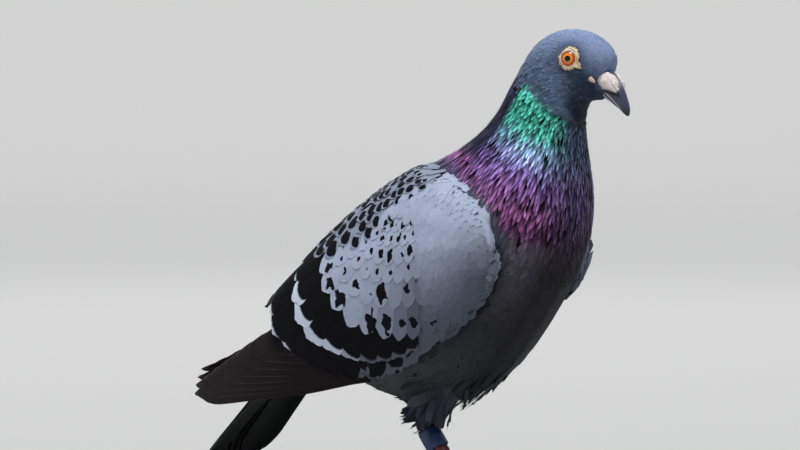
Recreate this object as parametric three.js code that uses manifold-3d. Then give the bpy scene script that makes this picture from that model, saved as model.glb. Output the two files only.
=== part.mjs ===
// A chequered pigeon standing on both feet, life size, with its wings folded and a ring on one leg.
// Millimetres, +X towards the bill, +Y to the bird's left, +Z up, with the soles at height 0.
import * as THREE from "three";
import { mergeVertices } from "three/addons/utils/BufferGeometryUtils.js";
import Module from "manifold-3d";

const wasm = await Module();
wasm.setup();

const GAP = 0.3;
const FAR = 400;
const RIGHT = -1;
const LEFT = 1;

// Flesh with its feathers, from the root of the bill over the head, down the neck and back to the
// tail. Each row is one slice: the point on the midline of the back, the point on the midline of
// the throat, breast or belly, half the width, and how far up from the belly the slice is widest.
const FLESH = [
  { back: [91.5, 204], front: [82.5, 192.5], half: 5, widest: 0.5 },
  { back: [93.5, 208.5], front: [82, 191], half: 8, widest: 0.5 },
  { back: [91.5, 214.5], front: [81.5, 190], half: 10.8, widest: 0.52 },
  { back: [83.5, 221], front: [80.5, 189], half: 12.8, widest: 0.53 },
  { back: [72.5, 224], front: [79.5, 188], half: 13.8, widest: 0.53 },
  { back: [60, 222.5], front: [78.5, 186.5], half: 14.2, widest: 0.52 },
  { back: [49, 215], front: [77.5, 184], half: 14.4, widest: 0.5 },
  { back: [41, 203], front: [76.8, 180.5], half: 15.2, widest: 0.5 },
  { back: [33, 190], front: [76.5, 175], half: 17.5, widest: 0.5 },
  { back: [24, 178], front: [76.5, 167], half: 22, widest: 0.5 },
  { back: [11, 168], front: [77, 156], half: 28.5, widest: 0.5 },
  { back: [-6, 160], front: [77.5, 142], half: 35, widest: 0.48 },
  { back: [-24, 149], front: [75.5, 124], half: 39, widest: 0.46 },
  { back: [-39, 136], front: [67, 103], half: 40, widest: 0.45 },
  { back: [-50, 124], front: [53, 80], half: 38.5, widest: 0.45 },
  { back: [-59, 114], front: [35, 58.5], half: 35, widest: 0.45 },
  { back: [-65, 107], front: [12, 44.5], half: 30.5, widest: 0.46 },
  { back: [-69, 102], front: [-14, 40.5], half: 25.5, widest: 0.48 },
  { back: [-72, 98], front: [-38, 44.5], half: 20, widest: 0.5 },
  { back: [-75, 94], front: [-58, 53], half: 15, widest: 0.5 },
  { back: [-78, 89], front: [-71, 63], half: 10, widest: 0.5 },
];
const FLESH_AROUND = 20;
const FLESH_STEPS = 2;
const FULLNESS = 0.93;

// Planes that part the flesh: a point on the midline and the direction that the plane faces.
const PARTINGS = {
  headFromNeck: { at: [62, 186], facing: [-0.1, -1] },
  neckFromChest: { at: [40, 152], facing: [-0.25, -1] },
  chestFromBelly: { at: [10, 92], facing: [-0.55, -0.83] },
  trunkFromRump: { at: [-44, 90], facing: [-1, -0.25] },
};

// Bill, from the tip back to the root.
const BILL = [
  { back: [101.7, 184.2], front: [100.7, 183.5], half: 0.6, widest: 0.5 },
  { back: [101.8, 187.4], front: [98.8, 184.4], half: 1.8, widest: 0.5 },
  { back: [100.6, 191.4], front: [95.4, 186.4], half: 3, widest: 0.5 },
  { back: [98, 197], front: [90.8, 189], half: 4.2, widest: 0.5 },
  { back: [94, 202.5], front: [85.8, 191.8], half: 5, widest: 0.5 },
  { back: [86.5, 206], front: [80, 195], half: 5.6, widest: 0.5 },
];
const MOUTH = { at: [80.4, 201.4], facing: [-0.68, -0.73] };
const CERE = { at: [91.8, 3.7, 200.4], radii: [5.8, 4.2, 4.2], droop: 0.75 };
const EYE = { at: [75.2, 9.9, 209], radius: 5.1 };

// Folded wing: slices across the bird, from the wrist back. Each row gives the wing's upper and
// lower edge as distance out from the midline and height, and how far out it bulges between them.
const WING = [
  { x: 54.5, top: [40, 129], low: [41, 106], bulge: 45, depth: 9 },
  { x: 50, top: [38.5, 135], low: [41, 99], bulge: 50, depth: 14 },
  { x: 40, top: [37.5, 144], low: [39, 89], bulge: 54, depth: 15 },
  { x: 22, top: [34.5, 154], low: [36.5, 76], bulge: 58, depth: 15 },
  { x: -2, top: [18, 158.5], low: [34.5, 66], bulge: 57.5, depth: 13 },
  { x: -28, top: [3, 150.5], low: [32, 58], bulge: 52, depth: 9 },
  { x: -52, top: [2, 135], low: [32, 55.5], bulge: 45, depth: 6 },
  { x: -72, top: [2, 119], low: [31.5, 62], bulge: 37, depth: 4 },
  { x: -88, top: [3, 104], low: [29, 73], bulge: 30, depth: 3.2 },
  { x: -98, top: [10, 93], low: [23, 82], bulge: 21, depth: 2.6 },
];
const PRIMARIES = [
  { x: -37, top: [25, 68], low: [29.5, 53], bulge: 29, depth: 2.4 },
  { x: -50, top: [24, 75], low: [30, 50], bulge: 29.5, depth: 3.2 },
  { x: -70, top: [21, 80], low: [30, 46], bulge: 29, depth: 3.4 },
  { x: -100, top: [18, 76], low: [29, 42], bulge: 27.5, depth: 3.2 },
  { x: -125, top: [14, 66], low: [22, 39.5], bulge: 20, depth: 2.4 },
  { x: -142, top: [10, 56], low: [15, 39.5], bulge: 14, depth: 1.6 },
  { x: -152, top: [9, 48], low: [11, 41.5], bulge: 10.5, depth: 1 },
];
const WING_PARTINGS = {
  scapularsFromCoverts: { at: [24, 147], facing: [-0.46, 0.89] },
  covertsFromSecondaries: { at: [-62, 78], facing: [-0.66, -0.75] },
};
// The far wing lies a little higher than the near one, so its tip shows above it.
const LEFT_WING_LIFT = THREE.MathUtils.degToRad(2.4);
const WRIST_PIVOT = new THREE.Vector3(50, 0, 118);

const TAIL = { root: [-65, 91], pitch: 48, length: 114, rootHalf: 17, tipHalf: 27, thick: 5, roof: 3.5 };

// Legs: places are on the upright plane of each leg, which is set out from the midline.
const LEG_OUT = 17;
const FOOT = { x: { right: 17, left: -5.5 }, toeIn: 3, padRadius: 6, padHeight: 3.3, padHalfHeight: 4.1 };
const ANKLE = { back: 20, z: 32.5 };
const THIGH = { route: [[-8, -4.5, 60], [-15, -2, 46], [-19, 0, 31]], radii: [10, 12, 5] };
const TARSUS = { top: 3.6, shaft: 2.15, base: 3.2, jointZ: 4.6 };
const BAND = { below: 8.5, inner: 4.2, outer: 5.6, height: 10, rim: 0.35 };
const TOES = [
  { name: "middle", heading: 2, length: 29, claw: 8, knuckles: 3, thick: 2.1 },
  { name: "inner", heading: -38, length: 21, claw: 7.5, knuckles: 2, thick: 2 },
  { name: "outer", heading: 42, length: 23, claw: 7, knuckles: 4, thick: 1.9 },
  { name: "hind", heading: 176, length: 14, claw: 7, knuckles: 1, thick: 1.9 },
];
const TOE_AXIS = 1.75;

const LOOKS = {
  head: { color: 0x5b6b86, roughness: 0.8 },
  neck: { color: 0x4c5f66, roughness: 0.45, metalness: 0.3 },
  chest: { color: 0x4a3b55, roughness: 0.7 },
  belly: { color: 0x44464f, roughness: 0.85 },
  rump: { color: 0x6b7180, roughness: 0.85 },
  shield: { color: 0x99a6bb, roughness: 0.8 },
  scapular: { color: 0x4a5163, roughness: 0.8 },
  flight: { color: 0x2b2626, roughness: 0.7 },
  tail: { color: 0x1d1d22, roughness: 0.7 },
  bill: { color: 0x34333d, roughness: 0.35 },
  cere: { color: 0xe0d3d0, roughness: 0.9 },
  eye: { color: 0xd8531c, roughness: 0.1 },
  scaly: { color: 0x7b2b33, roughness: 0.6 },
  claw: { color: 0x2a2527, roughness: 0.4 },
  band: { color: 0x27427f, roughness: 0.35 },
};

const bird = new THREE.Group();

function addPart(name, geometry, look, parent = bird) {
  const mesh = new THREE.Mesh(geometry, new THREE.MeshStandardMaterial(LOOKS[look]));
  mesh.name = name;
  parent.add(mesh);
  return mesh;
}

function toSolid(geometry) {
  const bare = geometry.clone();
  bare.deleteAttribute("normal");
  bare.deleteAttribute("uv");
  const welded = mergeVertices(bare, 1e-4);
  return new wasm.Manifold(new wasm.Mesh({
    numProp: 3,
    vertProperties: new Float32Array(welded.attributes.position.array),
    triVerts: new Uint32Array(welded.index.array),
  }));
}

function toGeometry(solid) {
  const { vertProperties, triVerts } = solid.getMesh();
  const geometry = new THREE.BufferGeometry();
  geometry.setAttribute("position", new THREE.BufferAttribute(vertProperties, 3));
  geometry.setIndex(new THREE.BufferAttribute(triVerts, 1));
  geometry.computeVertexNormals();
  return geometry;
}

// Everything on the side of a plane that its direction faces. Plane and direction are in the
// upright plane of the bird, and start moves the face along the direction.
function halfSpace({ at, facing }, sense, start) {
  const normal = new THREE.Vector3(facing[0], 0, facing[1]).normalize().multiplyScalar(sense);
  const box = new THREE.BoxGeometry(FAR, FAR, FAR);
  const turn = new THREE.Quaternion().setFromUnitVectors(new THREE.Vector3(0, 0, 1), normal);
  const centre = new THREE.Vector3(at[0], 0, at[1]).addScaledVector(normal, FAR / 2 + start);
  box.applyQuaternion(turn);
  box.translate(centre.x, centre.y, centre.z);
  return toSolid(box);
}

// Parts a solid at a plane, and leaves a thin gap: first what lies behind, then what lies ahead.
function partAt(solid, plane) {
  return [
    solid.intersect(halfSpace(plane, -1, GAP / 2)),
    solid.intersect(halfSpace(plane, 1, GAP / 2)),
  ];
}

// Value at place t along the rows, on a smooth curve through all of them. Places outside the rows
// take the end rows.
function along(rows, read, t) {
  const last = rows.length - 1;
  const place = THREE.MathUtils.clamp(t, 0, 1) * last;
  const i = Math.min(Math.floor(place), last - 1);
  const f = place - i;
  const [p0, p1, p2, p3] = [i - 1, i, i + 1, i + 2]
    .map((k) => read(rows[THREE.MathUtils.clamp(k, 0, last)]));
  const a = 2 * p1;
  const b = p2 - p0;
  const c = 2 * p0 - 5 * p1 + 4 * p2 - p3;
  const d = 3 * p1 - p0 - 3 * p2 + p3;
  return (a + b * f + c * f * f + d * f * f * f) / 2;
}

// A ball whose rows and columns are moved to a new place: t runs from pole to pole, turn once round.
function shapedBall(around, rows, place) {
  const ball = new THREE.SphereGeometry(1, around, rows);
  const position = ball.attributes.position;
  for (let row = 0; row <= rows; row += 1) {
    for (let column = 0; column <= around; column += 1) {
      const turn = (column % around) / around * 2 * Math.PI;
      const point = place(row / rows, turn);
      position.setXYZ(row * (around + 1) + column, point.x, point.y, point.z);
    }
  }
  return ball;
}

// Pushes a circle's sine or cosine out towards a rounded square.
function fuller(value) {
  return Math.sign(value) * Math.abs(value) ** FULLNESS;
}

// A body through slices that stand on the midline, closed flat at both ends.
function slicedBody(slices, around, steps, grow = 0) {
  const rows = (slices.length - 1) * steps + 2;
  return shapedBall(around, rows, (t, turn) => {
    const t0 = THREE.MathUtils.clamp((t * rows - 1) / (rows - 2), 0, 1);
    const back = new THREE.Vector2(
      along(slices, (s) => s.back[0], t0), along(slices, (s) => s.back[1], t0));
    const front = new THREE.Vector2(
      along(slices, (s) => s.front[0], t0), along(slices, (s) => s.front[1], t0));
    const up = back.clone().sub(front).normalize();
    back.addScaledVector(up, grow);
    front.addScaledVector(up, -grow);
    const half = along(slices, (s) => s.half, t0) + grow;
    const middle = front.clone().lerp(back, along(slices, (s) => s.widest, t0));
    const pole = t === 0 || t === 1;
    const rise = pole ? 0 : fuller(Math.cos(turn));
    const out = pole ? 0 : fuller(Math.sin(turn));
    const point = middle.lerp(rise > 0 ? back : front, Math.abs(rise));
    return new THREE.Vector3(point.x, -half * out, point.y);
  });
}

// One side's wing as a shell over slices that stand across the bird.
function wingShell(rows, side, around, steps) {
  const lanes = Math.round(rows.length * steps);
  const xs = rows.map((row) => row.x);
  return shapedBall(around, lanes, (t, turn) => {
    const place = (1 - Math.cos(Math.PI * t)) / 2;
    const x = xs[0] + (xs.at(-1) - xs[0]) * place;
    const upper = xs.findIndex((value) => value <= x + 1e-9);
    const i = Math.max(upper, 1);
    const t0 = (i - 1 + (x - xs[i - 1]) / (xs[i] - xs[i - 1])) / (rows.length - 1);
    const read = (key, n) => along(rows, (r) => r[key][n], t0);
    const bulge = along(rows, (r) => r.bulge, t0);
    const depth = along(rows, (r) => r.depth, t0);
    const [topOut, topZ] = [read("top", 0), read("top", 1)];
    const [lowOut, lowZ] = [read("low", 0), read("low", 1)];
    const tall = topZ - lowZ;
    const edge = new THREE.CubicBezierCurve(
      new THREE.Vector2(topOut, topZ),
      new THREE.Vector2(THREE.MathUtils.lerp(topOut, bulge, 0.85), topZ - 0.06 * tall),
      new THREE.Vector2(bulge + 2, lowZ + 0.5 * tall),
      new THREE.Vector2(lowOut, lowZ));
    const closing = Math.min(1, Math.sin(Math.PI * t) * 3.2);
    const down = (1 - Math.cos(turn)) / 2;
    const s = 0.5 + (down - 0.5) * Math.max(closing, 0);
    const point = edge.getPoint(s);
    const tangent = edge.getTangent(s);
    const inward = new THREE.Vector2(tangent.y, -tangent.x);
    const inner = Math.sin(turn) < 0 ? Math.abs(Math.sin(turn)) ** 0.6 : 0;
    point.addScaledVector(inward, depth * inner * Math.max(closing, 0));
    return new THREE.Vector3(x, side * point.x, point.y);
  });
}

function sided(geometry, side) {
  if (side === RIGHT) return geometry;
  const index = geometry.index;
  for (let i = 0; i < index.count; i += 3) {
    const first = index.getX(i);
    index.setX(i, index.getX(i + 1));
    index.setX(i + 1, first);
  }
  return geometry;
}

// A round limb along a route, with radii at even places of it. Sideways is level across the limb.
function limb({ route, radii, around, rows, sideways, grow = 0, swell = () => 1 }) {
  const curve = new THREE.CatmullRomCurve3(route.map((p) => new THREE.Vector3(...p)));
  return shapedBall(around, rows, (t, turn) => {
    const place = (1 - Math.cos(Math.PI * t)) / 2;
    const centre = curve.getPoint(place);
    const tangent = curve.getTangent(place);
    centre.addScaledVector(tangent, grow * (2 * place - 1));
    const upward = new THREE.Vector3().crossVectors(tangent, sideways);
    const full = along(radii, (r) => r, place) * swell(place) + grow;
    const radius = t === 0 || t === 1 ? 0 : full * Math.min(1, Math.sin(Math.PI * t) * 1.9);
    return centre
      .addScaledVector(sideways, radius * Math.cos(turn))
      .addScaledVector(upward, -radius * Math.sin(turn));
  });
}

function largest(solid) {
  return solid.decompose().sort((a, b) => b.volume() - a.volume())[0];
}

// Head, neck and trunk.
const flesh = toSolid(slicedBody(FLESH, FLESH_AROUND, FLESH_STEPS));
const fleshAndGap = toSolid(slicedBody(FLESH, FLESH_AROUND, FLESH_STEPS, GAP));

function eyeball(side, radius) {
  const ball = new THREE.SphereGeometry(radius, 12, 8);
  ball.translate(EYE.at[0], side * EYE.at[1], EYE.at[2]);
  return ball;
}

function addFlesh() {
  let rest = flesh;
  for (const side of [RIGHT, LEFT]) {
    rest = rest.subtract(toSolid(eyeball(side, EYE.radius + GAP)));
  }
  const pieces = {};
  [pieces.head, rest] = partAt(rest, PARTINGS.headFromNeck);
  [pieces.neck, rest] = partAt(rest, PARTINGS.neckFromChest);
  [pieces.rump, rest] = partAt(rest, PARTINGS.trunkFromRump).reverse();
  [pieces.chest, pieces.belly] = partAt(rest, PARTINGS.chestFromBelly);
  for (const [name, solid] of Object.entries(pieces)) {
    addPart(name, toGeometry(solid), name);
  }
}

function addEyes() {
  for (const [name, side] of [["eye_right", RIGHT], ["eye_left", LEFT]]) {
    const eye = addPart(name, new THREE.SphereGeometry(EYE.radius, 12, 8), "eye");
    eye.position.set(EYE.at[0], side * EYE.at[1], EYE.at[2]);
  }
}

function addBill() {
  const whole = toSolid(slicedBody(BILL, 10, 2)).subtract(fleshAndGap);
  const [upper, lower] = partAt(whole, MOUTH);
  addPart("bill_upper", toGeometry(upper), "bill");
  addPart("bill_lower", toGeometry(lower), "bill");

  const billAndGap = toSolid(slicedBody(BILL, 10, 2, GAP));
  for (const [name, side] of [["cere_right", RIGHT], ["cere_left", LEFT]]) {
    const lobe = new THREE.SphereGeometry(1, 10, 7);
    lobe.scale(...CERE.radii);
    lobe.rotateY(CERE.droop);
    lobe.translate(CERE.at[0], side * CERE.at[1], CERE.at[2]);
    const clear = new THREE.BoxGeometry(FAR, FAR, FAR);
    clear.translate(0, side * (FAR + GAP) / 2, 0);
    const solid = toSolid(lobe).intersect(toSolid(clear)).subtract(fleshAndGap).subtract(billAndGap);
    addPart(name, toGeometry(solid), "cere");
  }
}

// Wings: the pad of coverts, the scapulars above it, the secondaries behind and the primaries.
function addWing(label, side) {
  const lift = (geometry) => {
    if (side === LEFT) {
      geometry.translate(-WRIST_PIVOT.x, 0, -WRIST_PIVOT.z);
      geometry.rotateY(LEFT_WING_LIFT);
      geometry.translate(WRIST_PIVOT.x, 0, WRIST_PIVOT.z);
    }
    return geometry;
  };
  const shell = toSolid(lift(sided(wingShell(WING, side, 18, 1.6), side))).subtract(fleshAndGap);
  const [coverts, scapulars] = partAt(shell, WING_PARTINGS.scapularsFromCoverts);
  const [shield, secondaries] = partAt(coverts, WING_PARTINGS.covertsFromSecondaries);
  addPart(`wing_scapulars_${label}`, toGeometry(scapulars), "scapular");
  addPart(`wing_coverts_${label}`, toGeometry(shield), "shield");
  addPart(`wing_secondaries_${label}`, toGeometry(secondaries), "flight");
  const closer = shell.translate([0, -side * GAP, 0]);
  const blade = toSolid(lift(sided(wingShell(PRIMARIES, side, 8, 2), side)));
  const primaries = largest(blade.subtract(shell).subtract(closer).subtract(fleshAndGap));
  addPart(`wing_primaries_${label}`, toGeometry(primaries), "flight");
}

// Tail: a folded fan, roofed a little across, that slopes down behind.
function addTail() {
  const { root, pitch, length, rootHalf, tipHalf, thick, roof } = TAIL;
  const fan = shapedBall(14, 8, (t, turn) => {
    const place = (1 - Math.cos(Math.PI * t)) / 2;
    const spread = THREE.MathUtils.lerp(rootHalf, tipHalf, place ** 0.7);
    const closing = Math.min(1, Math.sin(Math.PI * t) * 3);
    const across = Math.cos(turn) * closing;
    const bend = roof * (1 - across * across);
    const height = bend + thick * (1 - 0.65 * place) * 0.5 * Math.sin(turn) * closing;
    const rounding = 5 * across * across * place;
    return new THREE.Vector3(-(place * length - rounding), spread * across, height - roof);
  });
  fan.rotateY(-THREE.MathUtils.degToRad(pitch));
  fan.translate(root[0], 0, root[1]);
  addPart("tail", toGeometry(toSolid(fan).subtract(fleshAndGap)), "tail");
}

const floor = new THREE.BoxGeometry(FAR, FAR, FAR).translate(0, 0, -FAR / 2);
const belowSoles = toSolid(floor);
const ACROSS = new THREE.Vector3(0, 1, 0);

// Tarsus in its leg's own frame, whose origin is on the floor under the foot joint.
function tarsus(grow) {
  return toSolid(limb({
    route: [[-ANKLE.back, 0, ANKLE.z], [0, 0, TARSUS.jointZ]],
    radii: [TARSUS.top, TARSUS.shaft, TARSUS.shaft, TARSUS.shaft, TARSUS.base],
    around: 8, rows: 8, sideways: ACROSS, grow,
  }));
}

function footPad(grow) {
  const pad = new THREE.SphereGeometry(1, 12, 6);
  pad.rotateX(Math.PI / 2);
  pad.scale(FOOT.padRadius + grow, FOOT.padRadius + grow, FOOT.padHalfHeight + grow);
  return toSolid(pad.translate(0, 0, FOOT.padHeight));
}

function toeSolid({ length, knuckles, thick }, grow) {
  const swell = (place) => 1 + 0.1 * Math.cos(2 * Math.PI * knuckles * place);
  return toSolid(limb({
    route: [[3, 0, TOE_AXIS + 0.9], [0.4 * length, 0, TOE_AXIS + 0.2], [length, 0, TOE_AXIS - 0.25]],
    radii: [thick * 1.12, thick, thick * 0.8],
    around: 7, rows: 8, sideways: ACROSS, grow, swell,
  }));
}

function clawSolid({ length, claw, thick }) {
  return toSolid(limb({
    route: [
      [length - 2, 0, TOE_AXIS + 0.4],
      [length + 0.45 * claw, 0, TOE_AXIS + 0.5],
      [length + claw, 0, 0.5],
    ],
    radii: [thick * 0.62, thick * 0.5, 0.3],
    around: 5, rows: 5, sideways: ACROSS,
  }));
}

// Sets something whose axis is Y on the tarsus, where the ring sits just below the ankle.
function setOnTarsus(object) {
  const ankle = new THREE.Vector3(-ANKLE.back, 0, ANKLE.z);
  const axis = new THREE.Vector3(0, 0, TARSUS.jointZ).sub(ankle).normalize();
  object.quaternion.setFromUnitVectors(new THREE.Vector3(0, -1, 0), axis);
  object.position.copy(ankle.addScaledVector(axis, BAND.below));
}

function addBand(leg) {
  const { inner, outer, height, rim } = BAND;
  const profile = [
    [inner, -height / 2 + rim], [inner + rim, -height / 2], [outer - rim, -height / 2],
    [outer, -height / 2 + rim], [outer, height / 2 - rim], [outer - rim, height / 2],
    [inner + rim, height / 2], [inner, height / 2 - rim], [inner, -height / 2 + rim],
  ].map(([r, y]) => new THREE.Vector2(r, y));
  setOnTarsus(addPart("leg_band", new THREE.LatheGeometry(profile, 16), "band", leg));
}

function roomForBand() {
  const room = new THREE.Object3D();
  setOnTarsus(room);
  room.updateMatrix();
  const radius = BAND.outer + GAP;
  const drum = new THREE.CylinderGeometry(radius, radius, BAND.height + 2 * GAP, 16);
  return toSolid(drum.applyMatrix4(room.matrix));
}

function addLeg(label, side) {
  const leg = new THREE.Group();
  leg.position.set(FOOT.x[label], side * LEG_OUT, 0);
  bird.add(leg);
  const shank = tarsus(0).add(footPad(0)).subtract(belowSoles);
  addPart(`tarsus_${label}`, toGeometry(shank), "scaly", leg);
  const padAndGap = footPad(GAP).add(tarsus(GAP));
  for (const toe of TOES) {
    const spoke = new THREE.Group();
    spoke.rotation.z = THREE.MathUtils.degToRad(side * (toe.heading - FOOT.toeIn));
    leg.add(spoke);
    const name = `toe_${toe.name}_${label}`;
    const digit = toeSolid(toe, 0).subtract(padAndGap).subtract(belowSoles);
    addPart(name, toGeometry(largest(digit)), "scaly", spoke);
    const claw = clawSolid(toe).subtract(toeSolid(toe, GAP)).subtract(belowSoles);
    addPart(`claw_${toe.name}_${label}`, toGeometry(largest(claw)), "claw", spoke);
  }
  const thigh = toSolid(limb({
    route: THIGH.route.map(([x, out, z]) => [FOOT.x[label] + x, side * (LEG_OUT + out), z]),
    radii: THIGH.radii,
    around: 12, rows: 8, sideways: ACROSS,
  }));
  const below = (side === RIGHT ? tarsus(GAP).add(roomForBand()) : tarsus(GAP))
    .translate([FOOT.x[label], side * LEG_OUT, 0]);
  addPart(`thigh_${label}`, toGeometry(largest(thigh.subtract(fleshAndGap).subtract(below))), "belly");
  return leg;
}

addFlesh();
addEyes();
addBill();
addWing("right", RIGHT);
addWing("left", LEFT);
addTail();
addBand(addLeg("right", RIGHT));
addLeg("left", LEFT);

// The frame's origin is under the middle of the whole bird's box.
const box = new THREE.Box3().setFromObject(bird);
bird.position.x = -(box.min.x + box.max.x) / 2;
bird.position.y = -(box.min.y + box.max.y) / 2;

export default bird;
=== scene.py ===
"""A chequered pigeon that stands on both feet, dressed feather by feather around its solid model."""

import math

import bpy
import numpy as np
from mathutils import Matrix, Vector, noise
from mathutils.bvhtree import BVHTree


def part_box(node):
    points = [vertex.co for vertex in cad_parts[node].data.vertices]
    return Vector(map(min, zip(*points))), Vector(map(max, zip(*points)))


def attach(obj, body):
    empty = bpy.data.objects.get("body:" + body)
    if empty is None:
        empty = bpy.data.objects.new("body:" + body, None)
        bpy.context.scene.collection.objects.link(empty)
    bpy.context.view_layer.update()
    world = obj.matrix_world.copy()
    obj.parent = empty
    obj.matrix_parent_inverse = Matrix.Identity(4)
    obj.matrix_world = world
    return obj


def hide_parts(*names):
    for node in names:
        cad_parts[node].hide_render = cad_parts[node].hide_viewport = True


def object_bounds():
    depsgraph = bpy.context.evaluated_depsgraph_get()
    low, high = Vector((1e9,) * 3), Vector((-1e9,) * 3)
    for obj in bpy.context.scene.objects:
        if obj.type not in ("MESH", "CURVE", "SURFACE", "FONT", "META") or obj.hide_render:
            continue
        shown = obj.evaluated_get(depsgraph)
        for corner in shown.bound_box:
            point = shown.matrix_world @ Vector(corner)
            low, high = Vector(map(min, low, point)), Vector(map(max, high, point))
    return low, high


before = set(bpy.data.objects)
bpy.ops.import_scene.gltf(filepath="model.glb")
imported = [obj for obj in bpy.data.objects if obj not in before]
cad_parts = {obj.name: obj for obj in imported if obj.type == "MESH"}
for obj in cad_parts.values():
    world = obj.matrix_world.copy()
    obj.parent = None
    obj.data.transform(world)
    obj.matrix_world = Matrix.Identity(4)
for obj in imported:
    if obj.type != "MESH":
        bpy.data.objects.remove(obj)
SOLID_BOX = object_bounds()
MM = 0.001
SIDES = {"right": -1, "left": 1}
draw = np.random.default_rng(11)


# ---------------------------------------------------------------------------------------------
# Workshop: small tools for meshes
# ---------------------------------------------------------------------------------------------

def pick(*pieces):
    """Selects these pieces and nothing else; the first is the active one."""
    bpy.ops.object.select_all(action="DESELECT")
    for piece in pieces:
        piece.select_set(True)
    bpy.context.view_layer.objects.active = pieces[0]
    return pieces[0]


def edit(piece, *steps):
    """Runs edit mode steps with every face of the piece selected."""
    pick(piece)
    bpy.ops.object.mode_set(mode="EDIT")
    bpy.ops.mesh.select_all(action="SELECT")
    for step in steps:
        step()
    bpy.ops.object.mode_set(mode="OBJECT")


def shape_with(piece, kind, **settings):
    """Adds a modifier, sets it and applies it."""
    pick(piece)
    bpy.ops.object.modifier_add(type=kind)
    modifier = piece.modifiers[-1]
    for key, value in settings.items():
        setattr(modifier, key, value)
    bpy.ops.object.modifier_apply(modifier=modifier.name)
    return piece


def ball(name, centre, radii, segments=32, rings=20):
    """A ball stretched along the three axes."""
    bpy.ops.mesh.primitive_uv_sphere_add(segments=segments, ring_count=rings, radius=1)
    piece = bpy.context.object
    piece.name = name
    piece.data.name = name
    move_corners(piece, corners(piece) * radii + centre)
    return piece


def copy_of(name, nodes):
    """One piece made from copies of the named solids, with their doubled corners merged."""
    copies = []
    for node in nodes:
        copy = bpy.data.objects.new(name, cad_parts[node].data.copy())
        bpy.context.scene.collection.objects.link(copy)
        copies.append(copy)
    piece = pick(*copies)
    if len(copies) > 1:
        bpy.ops.object.join()
    piece.name = name
    piece.data.name = name
    piece.data.materials.clear()
    edit(piece, lambda: bpy.ops.mesh.remove_doubles(threshold=1e-6))
    return piece


def grown(name, nodes, voxel, smoothing, *added):
    """A smooth closed form grown from solids: it closes their thin gaps and rounds their facets."""
    piece = copy_of(name, nodes)
    if added:
        pick(piece, *added)
        bpy.ops.object.join()
    shape_with(piece, "REMESH", mode="VOXEL", voxel_size=voxel, use_smooth_shade=True)
    shape_with(piece, "SMOOTH", factor=0.5, iterations=smoothing)
    return piece


def corners(piece):
    """The piece's corners as an array of points."""
    flat = np.zeros(len(piece.data.vertices) * 3)
    piece.data.vertices.foreach_get("co", flat)
    return flat.reshape(-1, 3)


def move_corners(piece, points):
    """Sets the piece's corners to these points."""
    piece.data.vertices.foreach_set("co", np.ascontiguousarray(points, dtype=np.float32).ravel())
    piece.data.update()


def outward(piece):
    """The direction that each corner faces."""
    flat = np.zeros(len(piece.data.vertices) * 3, dtype=np.float32)
    piece.data.vertex_normals.foreach_get("vector", flat)
    return flat.reshape(-1, 3).astype(float)


def weight(piece, name, values):
    """Keeps one number for each corner of the piece, for its material to read."""
    layer = piece.data.attributes.new(name, "FLOAT", "POINT")
    layer.data.foreach_set("value", np.asarray(values, dtype=np.float32))


def tint(piece, colours):
    """Keeps one colour for each corner of the piece, for its material to read."""
    layer = piece.data.color_attributes.new("Tint", "FLOAT_COLOR", "POINT")
    alpha = np.ones((len(colours), 1))
    layer.data.foreach_set("color", np.hstack([colours, alpha]).astype(np.float32).ravel())


def dress(piece, material, slot, *nodes):
    """Finishes a piece: its material, its body and the solids that it stands for. slot is not used.
    """
    piece.data.materials.clear()
    piece.data.materials.append(material)
    for polygon in piece.data.polygons:
        polygon.use_smooth = True
    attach(piece, "root")
    if nodes:
        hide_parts(*nodes)
    return piece


def unit(vectors):
    """The same directions with a length of 1."""
    return vectors / np.maximum(np.linalg.norm(vectors, axis=-1, keepdims=True), 1e-12)


def ramp(value, low, high):
    """0 below low, 1 above high and a smooth rise between them."""
    share = np.clip((value - low) / (high - low), 0, 1)
    return share * share * (3 - 2 * share)


def blend_to(first, second, share):
    """Colours on the way from the first to the second, one for each share."""
    share = np.asarray(share)[..., None]
    return first * (1 - share) + second * share


def rgb(code):
    """A linear colour from a six-digit code."""
    parts = np.array([int(code[i:i + 2], 16) / 255 for i in (0, 2, 4)])
    return np.where(parts <= 0.04045, parts / 12.92, ((parts + 0.055) / 1.055) ** 2.4)


# ---------------------------------------------------------------------------------------------
# Skin and the surfaces that feathers lie on
# ---------------------------------------------------------------------------------------------

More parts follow.
